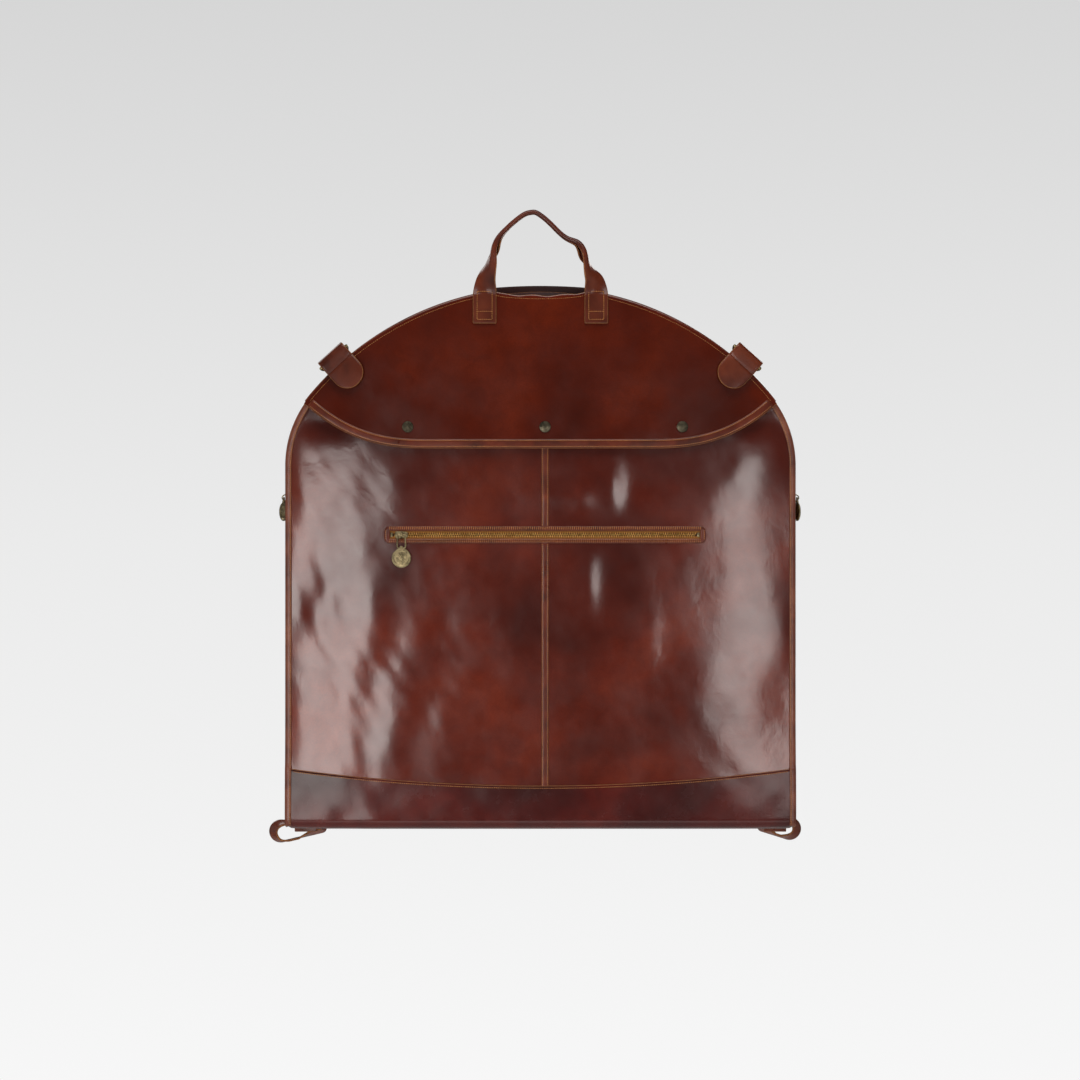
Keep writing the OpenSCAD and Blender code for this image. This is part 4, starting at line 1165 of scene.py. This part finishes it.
def pull_mesh(drop, radius, tilt, push):
    """A two-legged wire link, an eye and a medallion, hanging towards -y from a wire along x."""
    top, foot = 4.0, 4.6
    corner = curve_through([(-top, 0, 0), (-top - 0.2, -0.3 * drop, 0.15), (-foot, -0.75 * drop, 0.1),
                            (-foot + 0.9, -drop + 0.2, 0), (0, -drop, 0)], 0.8)
    half = np.vstack([corner, (corner * [-1, 1, 1])[::-1][1:]])
    cross = xyz(np.linspace(top, -top, 12)[1:-1], 0, 0)
    link = tube_mesh(np.vstack([half, cross]), 0.8, closed=True, side=(0, 0, 1))
    eye_line = curve_through([(0, up - drop, out) for up, out in EYE], 0.6)
    eye = tube_mesh(eye_line, 0.6, 8, side=(1, 0, 0))
    disc, disc_faces = medallion(radius)
    c, s = math.cos(tilt), math.sin(tilt)
    disc = disc @ np.array([[c, 0, -s], [0, 1, 0], [s, 0, c]]) + [0, -drop - radius - 0.2, push]
    return joined([link, (eye[0] * [3.0, 1, 1], eye[1]), (disc, disc_faces)])


def zip_pull(z, name, at, body, node, drop, radius, turn=0, tilt=0.0, push=0.0):
    """The pull of a slider, hanging across the zip, or along it where turn is 1."""
    verts, faces = pull_mesh(drop, radius, tilt, push)
    if turn:
        verts = verts[:, [1, 0, 2]] * [1, -1, 1]
    piece(name, z.place(verts + [at, 0, PULL_HEIGHT]), faces, [old_brass], body, "old_brass", [node])


def middle_of(node, axis):
    """Middle of a CAD node along one axis."""
    return (low(node)[axis] + high(node)[axis]) / 2


def pocket_zip():
    """The pocket zip runs across the front, closed towards the left."""
    z = Zip((SEAM_X, low("pocket_zip_tapes")[1], POCKET_Z), (1, 0, 0), (0, 0, 1), (0, -1, 0))
    length = 2 * SLOT_HALF_L
    tape_and_teeth(z, "pocket_zip", ("lower", "upper"), length + 8, length - 8)
    at = middle_of("pocket_zip_slider", 0) - SEAM_X
    zip_slider(z, "pocket_slider_brass", at, "pocket_slider", "pocket_zip_slider", 0, flip=-1)
    zip_pull(z, "pocket_pull_brass", at, "pocket_pull", "pocket_zip_pull", 14.6, 10.6)
    stop, faces = plate_mesh([(-1.4, -2.5), (1.4, -2.5), (1.4, 2.5), (-1.4, 2.5)], -0.9, 1.0, 0.4)
    verts, faces = joined([(stop + [end * (length / 2 - 2), 0, 0], faces) for end in (-1, 1)])
    piece("pocket_zip_stop_pair", z.place(verts), faces, [old_brass], "front_half", "zip_brass",
          ["pocket_zip_stops"])


def welt():
    """Leather frame round the pocket zip, with a dense row of thread across its top."""
    half_l, half_h, r = WELT_L / 2, WELT_H / 2, 6.0
    ring = []
    for k, (sx, sz) in enumerate(((1, -1), (1, 1), (-1, 1), (-1, -1))):
        turn = np.radians(np.linspace(-90, 0, 10) + 90 * k)
        ring.append(np.stack([sx * (half_l - r) + r * np.cos(turn), sz * (half_h - r) + r * np.sin(turn)], 1))
    ring = np.vstack([*ring, ring[0][:1]])
    outer = resample(ring, 3.0)[0][:-1]
    inner = np.clip(outer, [-SLOT_HALF_L, -SLOT_HALF_H], [SLOT_HALF_L, SLOT_HALF_H])
    grid = np.zeros((len(outer), 6, 3))
    for j, s in enumerate(np.linspace(0, 1, 6)):
        rise = TRIM_T * (1 - 0.5 * abs(2 * s - 1) ** 3)
        grid[:, j] = on_front(outer + (inner - outer) * s + [SEAM_X, POCKET_Z], rise + 0.1)
    leather_sheet("pocket_zip_welt_leather", grid, 1.1, seam_hide, "front_half", "panel_leather",
                  ["pocket_zip_welt"], closed=True)
    x = np.linspace(-half_l + 5, half_l - 5, 120) + SEAM_X
    sew_across("welt_buttonhole_stitches", [(x, POCKET_Z + half_h - 2.0)], TRIM_T, front_y, "front_half", 2.3,
               0.42, slant=math.pi / 2 - 0.08, share=1.5)
    z = np.linspace(-half_h + 4, half_h - 4, 20) + POCKET_Z
    rows = [(x, POCKET_Z - half_h + up) for up in (1.6, 3.6)]
    rows += [(SEAM_X + end * (half_l - 1.8), z) for end in (-1, 1)]
    sew_across("welt_lower_stitches", rows, TRIM_T, front_y, "front_half", 2.2, 0.38)


def main_zip():
    """The upright zip in the front half's inner wall."""
    foot, top = low("main_zip_chain")[2], high("main_zip_chain")[2]
    middle = (foot + top) / 2
    z = Zip((0, high("main_zip_tapes")[1], middle), (0, 0, 1), (1, 0, 0), (0, 1, 0))
    tape_and_teeth(z, "main_zip", ("left", "right"), top - foot + 10, top - foot)
    at = middle_of("main_zip_slider", 2) - middle
    zip_slider(z, "main_slider_brass", at, "main_slider", "main_zip_slider", 1)
    zip_pull(z, "main_pull_brass", at, "main_pull", "main_zip_pull", 14.6, 10.2, turn=1)
    height = np.linspace(foot - 4, top + 4, 200)
    rows = [(xyz(side * 6.2, 0.02 - WALL_IN, height), BACK) for side in (-1, 1)]
    stitches("main_zip_stitches", rows, "front_half", 2.6, 0.3)


def side_zip(side):
    """A side zip: one tape and row on each half, meeting between the gussets."""
    name = SIDE_NAME[side]
    front, rear = f"side_zip_front_{name}", f"side_zip_rear_{name}"
    lo, hi = low(front), high(front)
    x = side * max(abs(lo[0]), abs(hi[0])) - side * 0.8
    middle, length = (lo[2] + hi[2]) / 2, hi[2] - lo[2]
    z = Zip((x, 0, middle), (0, 0, 1), (0, -side, 0), (side, 0, 0))
    for row_side, node, half in ((side, front, "front"), (-side, rear, "rear")):
        zip_tape(z, f"side_zip_tape_{half}_{name}", row_side, length, f"{half}_half")
        zip_teeth(z, f"side_zip_teeth_{half}_{name}", row_side, length - 2, f"{half}_half", [node])
    slider = f"side_zip_slider_{name}"
    at = middle_of(slider, 2) - middle
    zip_slider(z, f"side_slider_{name}_brass", at, f"side_slider_{name}", slider, 1)
    zip_pull(z, f"side_pull_{name}_brass", at, f"side_pull_{name}", f"side_zip_pull_{name}", 5.0, 10.2,
             turn=1, tilt=0.50 if side < 0 else 0.2, push=0.3)


# ---- handle ----


def handle_path():
    """The strap's spine: up from the left foot, over the lopsided peak and down to the right foot."""
    left = [(-61, 554.5), (-61, 575), (-61, 590), (-60.6, 599), (-59.2, 608), (-57.8, 617), (-56.0, 627),
            (-52.0, 638.5), (-46, 650.5), (-37, 661), (-27, 669.7), (-18.3, 675.6), (-10.5, 677.8)]
    right = [(-4, 677.4), (4, 672.4), (12.7, 664.8), (22.5, 655), (30.2, 649), (40.8, 644.2), (47, 637.5),
             (51, 629), (54.2, 619), (57.2, 609), (60, 600), (61, 590), (61, 575), (61, 554.5)]
    return curve_through(left + right, 1.2)


def rolled_section(roll, columns=16, fine=12):
    """How far each column of the strap lies across and inward, as its sides turn in round two folds."""
    s = np.linspace(0, STRAP_HALF, columns * fine + 1)
    bend = smooth((s - 1.9) / 1.1) * smooth((11.2 - s) / 1.1) / ROLL_R
    angle = roll[:, None] * np.cumsum(bend)[None] * s[1]
    across = (np.cumsum(np.cos(angle), 1) * s[1])[:, fine::fine]
    inward = (np.cumsum(np.sin(angle), 1) * s[1])[:, fine::fine]
    middle = np.zeros((len(roll), 1))
    return (np.hstack([-across[:, ::-1], middle, across]), np.hstack([inward[:, ::-1], middle, inward]))


def handle():
    """One strap: sewn flat at its feet, turned on edge above the arch and folded lengthwise into the grip."""
    line = handle_path()
    t = tangents(line)
    inward = xyz(t[:, 1], 0, -t[:, 0])
    depth = np.array([0.0, 1, 0])
    run = np.concatenate([[0], np.cumsum(np.linalg.norm(np.diff(line, axis=0), axis=1))])
    first = run[np.argmax(line[:, 1] > FOOT_TOP)]
    free = np.clip(np.minimum(run - first, run[-1] - first - run), -40, 90)
    mouth_at, mouth_l, reach = np.where(line[:, :1] < 0, (49, 14, 64), (43, 18, 58)).T
    mouth = np.exp(-(((free - mouth_at) / mouth_l) ** 2))
    narrow = np.convolve(np.pad(np.clip((free + 2) / reach, 0, 1), 4, "edge"), np.ones(9) / 9, "valid")
    turn = (np.arccos(1 - narrow) + np.radians(38 * mouth))[:, None]
    sewn = flap_y(line[:, 0], np.minimum(line[:, 1], FOOT_TOP)) - 2.5
    y = sewn + (0.2 - HALF_D - FLAP_OUT - sewn) * smooth(free / 40)
    across, inward_by = rolled_section(smooth((free - 8) / 60))
    axis_a = np.cos(turn) * inward - np.sin(turn) * depth
    axis_b = np.cos(turn) * depth + np.sin(turn) * inward
    centre = xyz(line[:, 0], y, line[:, 1])
    grid = centre[:, None] + across[:, :, None] * axis_a[:, None] + inward_by[:, :, None] * axis_b[:, None]
    leather_sheet("handle_strap_leather", grid[:, ::-1], STRAP_T, strap_hide, HANDLE_BEND, "strap_leather",
                  ["handle_strap", "handle_foot_left", "handle_foot_right"])
    core = tube_mesh((centre + inward * ROLL_R)[free > 66], 0.45)
    piece("handle_cord", *core, [edge_paint], "handle", "edge_leather", ["handle_core"])
    handle_stitches()


def handle_stitches():
    """Each foot is sewn down both sides and across, with a box at its end."""
    rows = []
    for foot in (-FOOT_X, FOOT_X):
        rows += [(foot + dx, np.linspace(558.5, 589, 30)) for dx in (-8.2, 8.2)]
        rows += [(np.linspace(foot - 8.2, foot + 8.2, 20), z) for z in (558.2, 567.0, 589.0)]
    sew_across("handle_foot_stitches", rows, 2.75, flap_y, "front_half", 2.3, 0.5)


# ---- rings, tabs and loops ----

TAB_ANGLE = 48.0
TAB_HALF = 16.6
TAB_ROUND = -13.0            # centre of the tab's round end, inside the arch's edge
TAB_BAR = 10.0               # the ring's bar lies this far outside the edge
TAB_BEND = 4.2               # radius of the tab's fold round the bar
BAR_Y = -HALF_D - FLAP_OUT + 2.0
TAB_T = 2.8
LOOP_Y = 42.9                # the corner loops lie behind the bag
LOOP_HALF = 6.3              # half their strap's width
RIVET_RINGS = [(4, -0.2), (4, 0.5), (3.6, 0.9), (2.6, 1.3), (1.3, 1.5), (0.3, 1.55)]


def tab_frame(side):
    """Origin on the arch, outward and tangent directions of a ring tab."""
    a = math.radians(90 - side * (90 - TAB_ANGLE))
    out = np.array([math.cos(a), 0, math.sin(a)])
    along = np.array([-math.sin(a), 0, math.cos(a)])
    return np.array([0, 0, CROWN_Z]) + CROWN_R * out, out, along


def tab_height(origin, out, along, u, v):
    """The tab's outer face: padded over the yoke, level past the arch's edge."""
    held = origin + out * min(u, -2.0) + along * v
    over = flap_y(held[0], held[2]) - 3.6 - 0.9 * (1 - (v / TAB_HALF) ** 4)
    return over + (BAR_Y - TAB_BEND - over) * smooth((u + 1) / 6)


def ring_tab(side):
    """A round-ended tab sewn on the yoke, folded round the ring's bar and back to the arch's edge."""
    name = SIDE_NAME[side]
    origin, out, along = tab_frame(side)
    inner = TAB_ROUND - TAB_HALF * np.cos(np.linspace(0.1, math.pi / 2, 12))
    flat = [*inner, *np.linspace(TAB_ROUND + 2, -2.5, 6), -1.4, -0.9, -0.4, 0.6, 3, 6, TAB_BAR]
    turn = np.linspace(0, math.pi, 10)[1:]
    folded = [(TAB_BAR + TAB_BEND * math.sin(a), BAR_Y - TAB_BEND * math.cos(a)) for a in turn]
    folded += [(u, BAR_Y + TAB_BEND - 0.5 * k) for k, u in enumerate((7.5, 4.8, 2.6))]
    columns = []
    for s in np.linspace(-1, 1, 23):
        column = []
        for u in flat:
            v = s * TAB_HALF * math.sqrt(max(0.0, 1 - (max(0.0, TAB_ROUND - u) / TAB_HALF) ** 2))
            crease = 0.7 * math.exp(-(((u + 0.9) / 0.7) ** 2))
            column.append((u, v, tab_height(origin, out, along, u, v) + crease))
        column += [(u, s * TAB_HALF, y) for u, y in folded]
        columns.append([origin * [1, 0, 1] + out * u + along * v + [0, y, 0] for u, v, y in column])
    grid = np.array(columns).transpose(1, 0, 2)
    leather_sheet(f"ring_tab_{name}_leather", grid[:, ::-1], TAB_T, strap_hide, "front_half", "strap_leather",
                  [f"ring_tab_{name}"])
    tab_stitches(name, origin, out, along)


def tab_stitches(name, origin, out, along):
    """Thread round the tab's end and across it at the arch."""
    end = [(TAB_ROUND - 13.8 * math.cos(t), 13.8 * math.sin(t)) for t in np.linspace(-1.35, 1.35, 40)]
    across = [(-2.0, v) for v in np.linspace(-14.5, 14.5, 30)]
    lines = []
    for places in (end, across):
        spots = [(origin + out * u + along * v) * [1, 0, 1]
                 + [0, tab_height(origin, out, along, u, v) - 0.25, 0] for u, v in places]
        lines.append((np.array(spots), FRONT))
    stitches(f"ring_tab_{name}_stitches", lines, "front_half", 2.3, 0.45)


def loop_outline(d, r1, r2):
    """A loop round a big end at the origin and a small end d away, as a closed line."""
    b = math.acos((r1 - r2) / d)
    a = np.linspace(b, 2 * math.pi - b, 50)
    big = np.stack([r1 * np.cos(a), r1 * np.sin(a)], 1)
    a = np.linspace(-b, b, 20)
    small = np.stack([d + r2 * np.cos(a), r2 * np.sin(a)], 1)
    return resample(np.vstack([big, small, big[:1]]), 1.2)[0][:-1]


def corner_loop(side, x, z, d, r1, r2, slope, face_at, face_reach, twist):
    """A strap loop that hangs past the corner, its face turned forward part of the way round."""
    name = f"corner_loop_{SIDE_NAME[side]}"
    angle = math.radians(180 - slope if side > 0 else slope)
    spin = np.array([[math.cos(angle), math.sin(angle)], [-math.sin(angle), math.cos(angle)]])
    from_end = loop_outline(d, r1, r2) @ spin
    line = from_end + [side * x, z]
    t = unit(np.roll(line, -1, axis=0) - np.roll(line, 1, axis=0))
    out = np.stack([t[:, 1], -t[:, 0]], 1)
    where = np.degrees(np.arctan2(from_end[:, 1], from_end[:, 0])) % 360
    off_face = np.abs(where - face_at) % 360
    off_face = np.minimum(off_face, 360 - off_face)
    big_end = np.hypot(from_end[:, 0], from_end[:, 1]) < r1 + 1
    small_end = -side * from_end[:, 0] > 0.62 * d
    lean = twist * np.clip(1 - off_face / face_reach, 0, 1) ** 0.5 * big_end + 0.55 * small_end
    lean = np.convolve(np.concatenate([lean[-6:], lean, lean[:6]]), np.ones(13) / 13, "valid")
    grid = np.zeros((len(line), 7, 3))
    for j, s in enumerate(np.linspace(-1, 1, 7)):
        spot = line - out * ((1 - s) * LOOP_HALF * np.sin(lean) * 0.8)[:, None]
        grid[:, j] = xyz(spot[:, 0], LOOP_Y + LOOP_HALF * s * np.cos(lean), spot[:, 1])
    leather_sheet(f"{name}_leather", grid[:, ::-1], 2.2, loop_hide, "rear_half", "strap_leather", [name],
                  closed=True)


def loop_tabs():
    """The sewn tabs that hold the corner loops, and their rivets."""
    rivets = []
    a = np.linspace(0, 2 * math.pi, 32, endpoint=False)
    for side in (-1, 1):
        name = f"loop_tab_{SIDE_NAME[side]}"
        lo, hi = low(name), high(name)
        middle = (lo[0] + hi[0]) / 2
        x, z = patch_grid(lo, hi, (12, 20), (0.03, 0.015))
        y = hi[1] - 0.2 + 0.4 * (1 - ((x - middle) / 12) ** 2)
        leather_sheet(f"{name}_leather", xyz(x, y, z)[::-1], 1.9, strap_hide, "rear_half", "strap_leather",
                      [name])
        ends = np.array([lo[2] + 3, hi[2] - 3])
        rows = [(xyz(middle + dx, hi[1] + 0.1, ends), BACK) for dx in (-9, 9)]
        stitches(f"{name}_stitches", rows, "rear_half", 2.4, 0.34)
        x, y, z = side * (high("loop_rivets")[0] - 4), low("loop_rivets")[1], middle_of("loop_rivets", 2)
        rivets.append(rings_mesh([xyz(x + r * np.cos(a), y + up, z + r * np.sin(a))[::-1]
                                  for r, up in RIVET_RINGS]))
    piece("loop_rivet_pair", *joined(rivets), [old_brass], "rear_half", "old_brass", ["loop_rivets"])


def cad_metals():
    """CAD nodes whose shape is right: they keep their mesh and get the brass."""
    for node in ("snap_studs", "snap_sockets", "snap_caps", "ring_left", "ring_right"):
        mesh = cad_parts[node].data
        mesh.materials.clear()
        mesh.materials.append(snap_brass if node.startswith("snap") else old_brass)


# ---- stage ----

def grey_world():
    """The camera sees a soft grey backdrop, and everything else a dim warm room."""
    world = bpy.data.worlds.new("studio")
    bpy.context.scene.world = world
    world.use_nodes = True
    tree = world.node_tree
    link = tree.links.new
    add = tree.nodes.new
    split = add("ShaderNodeSeparateXYZ")
    link(add("ShaderNodeTexCoord").outputs["Generated"], split.inputs[0])
    shift = add("ShaderNodeMapRange")
    shift.inputs["From Min"].default_value = -0.18
    shift.inputs["From Max"].default_value = 0.18
    link(split.outputs["Z"], shift.inputs["Value"])
    ramp = add("ShaderNodeValToRGB")
    link(shift.outputs["Result"], ramp.inputs["Fac"])
    spots = ramp.color_ramp.elements
    spots.new(0.5)
    for spot, grey in zip(spots, (0.93, 0.83, 0.67)):
        spot.color = (grey, grey, grey, 1)
    seen = tree.nodes["Background"]
    link(ramp.outputs["Color"], seen.inputs["Color"])
    around = add("ShaderNodeBackground")
    around.inputs["Color"].default_value = (1.0, 0.95, 0.92, 1)
    around.inputs["Strength"].default_value = 0.06
    choose = add("ShaderNodeMixShader")
    link(add("ShaderNodeLightPath").outputs["Is Camera Ray"], choose.inputs["Fac"])
    link(around.outputs["Background"], choose.inputs[1])
    link(seen.outputs["Background"], choose.inputs[2])
    link(choose.outputs["Shader"], tree.nodes["World Output"].inputs["Surface"])


def placed(name, data):
    """A new object in the scene that holds data."""
    obj = bpy.data.objects.new(name, data)
    bpy.context.scene.collection.objects.link(obj)
    return obj


def area_light(name, place, aim, wide, tall, radiance):
    """A softbox of even brightness, aimed at a point."""
    data = bpy.data.lights.new(name, "AREA")
    data.shape = "RECTANGLE"
    data.size, data.size_y = wide, tall
    data.energy = radiance * math.pi * wide * tall
    data.color = (1.0, 0.945, 0.915)
    lamp = placed(name, data)
    lamp.location = place
    lamp.rotation_euler = (Vector(aim) - Vector(place)).to_track_quat("-Z", "Y").to_euler()


def studio():
    """A pale floor, far below and unseen from the front, and the lights."""
    grey_world()
    s = Shader("pale_floor")
    colour = s.mix(s.spread(s.noise(2.0, 3), 0.3, 0.7, 0, 1), (0.80, 0.80, 0.80), (0.84, 0.84, 0.84))
    a = np.linspace(0, 2 * math.pi, 96, endpoint=False)
    mesh = bpy.data.meshes.new("floor")
    mesh.from_pydata([(2.8 * math.cos(t), 2.8 * math.sin(t), -1.5) for t in a], [], [list(range(96))])
    mesh.materials.append(s.finish(colour, 0.8))
    placed("floor", mesh)
    middle = (0, -0.02, -0.28)
    area_light("right_box", (0.63, -1.75, -0.39), (0, 0, -0.39), 0.37, 0.52, 5.6)
    area_light("left_box", (-0.64, -1.70, -0.53), (0, 0, -0.53), 0.48, 0.76, 6.2)
    area_light("right_wall", (2.1, -0.9, -0.2), (0, 0, -0.2), 2.2, 2.0, 0.36)
    area_light("left_wall", (-2.1, -0.9, -0.2), (0, 0, -0.2), 2.2, 2.0, 0.42)
    area_light("top_box", (0, -1.3, 1.9), middle, 2.2, 1.1, 4.9)
    area_light("low_box", (0, -1.5, -1.45), middle, 1.8, 0.7, 1.4)
    area_light("back_box", (0.9, 1.9, 0.1), middle, 0.8, 1.4, 4.0)
    area_light("back_fill", (-1.4, 1.4, 0.8), middle, 1.2, 1.2, 2.5)


def camera():
    """Straight at the front, level with the bag's middle; the frame is 1.18 m wide at the bag's face."""
    data = bpy.data.cameras.new("camera")
    data.lens, data.sensor_width = 100, 36
    frame_w = 1.1815
    cam = placed("camera", data)
    face_y = float(row((0, -HALF_D, 0))[1])
    cam.location = (-0.0005, face_y - frame_w * data.lens / data.sensor_width, -0.2767)
    cam.rotation_euler = (math.pi / 2, 0, 0)
    bpy.context.scene.camera = cam


# ---- the bag ----

camera()
studio()
bpy.context.scene.view_settings.view_transform = "Standard"
for panel_side in (-1, 1):
    front_panel(panel_side)
    edge_binding(panel_side)
    gusset(panel_side)
    ring_tab(panel_side)
    side_zip(panel_side)
seam_strip()
bottom_band()
yoke_and_flap()
flap_strip()
arch_trim()
rear_panel()
rear_trim()
inner_walls()
hook_shadow_sheet()
pocket_floor()
pouch()
pocket_zip()
welt()
main_zip()
handle()
corner_loop(-1, x=291, z=-9, d=46, r1=13, r2=5.5, slope=4, face_at=165, face_reach=120, twist=1.15)
corner_loop(1, x=279, z=-6, d=30, r1=13, r2=6, slope=4, face_at=355, face_reach=150, twist=1.15)
loop_tabs()
cad_metals()
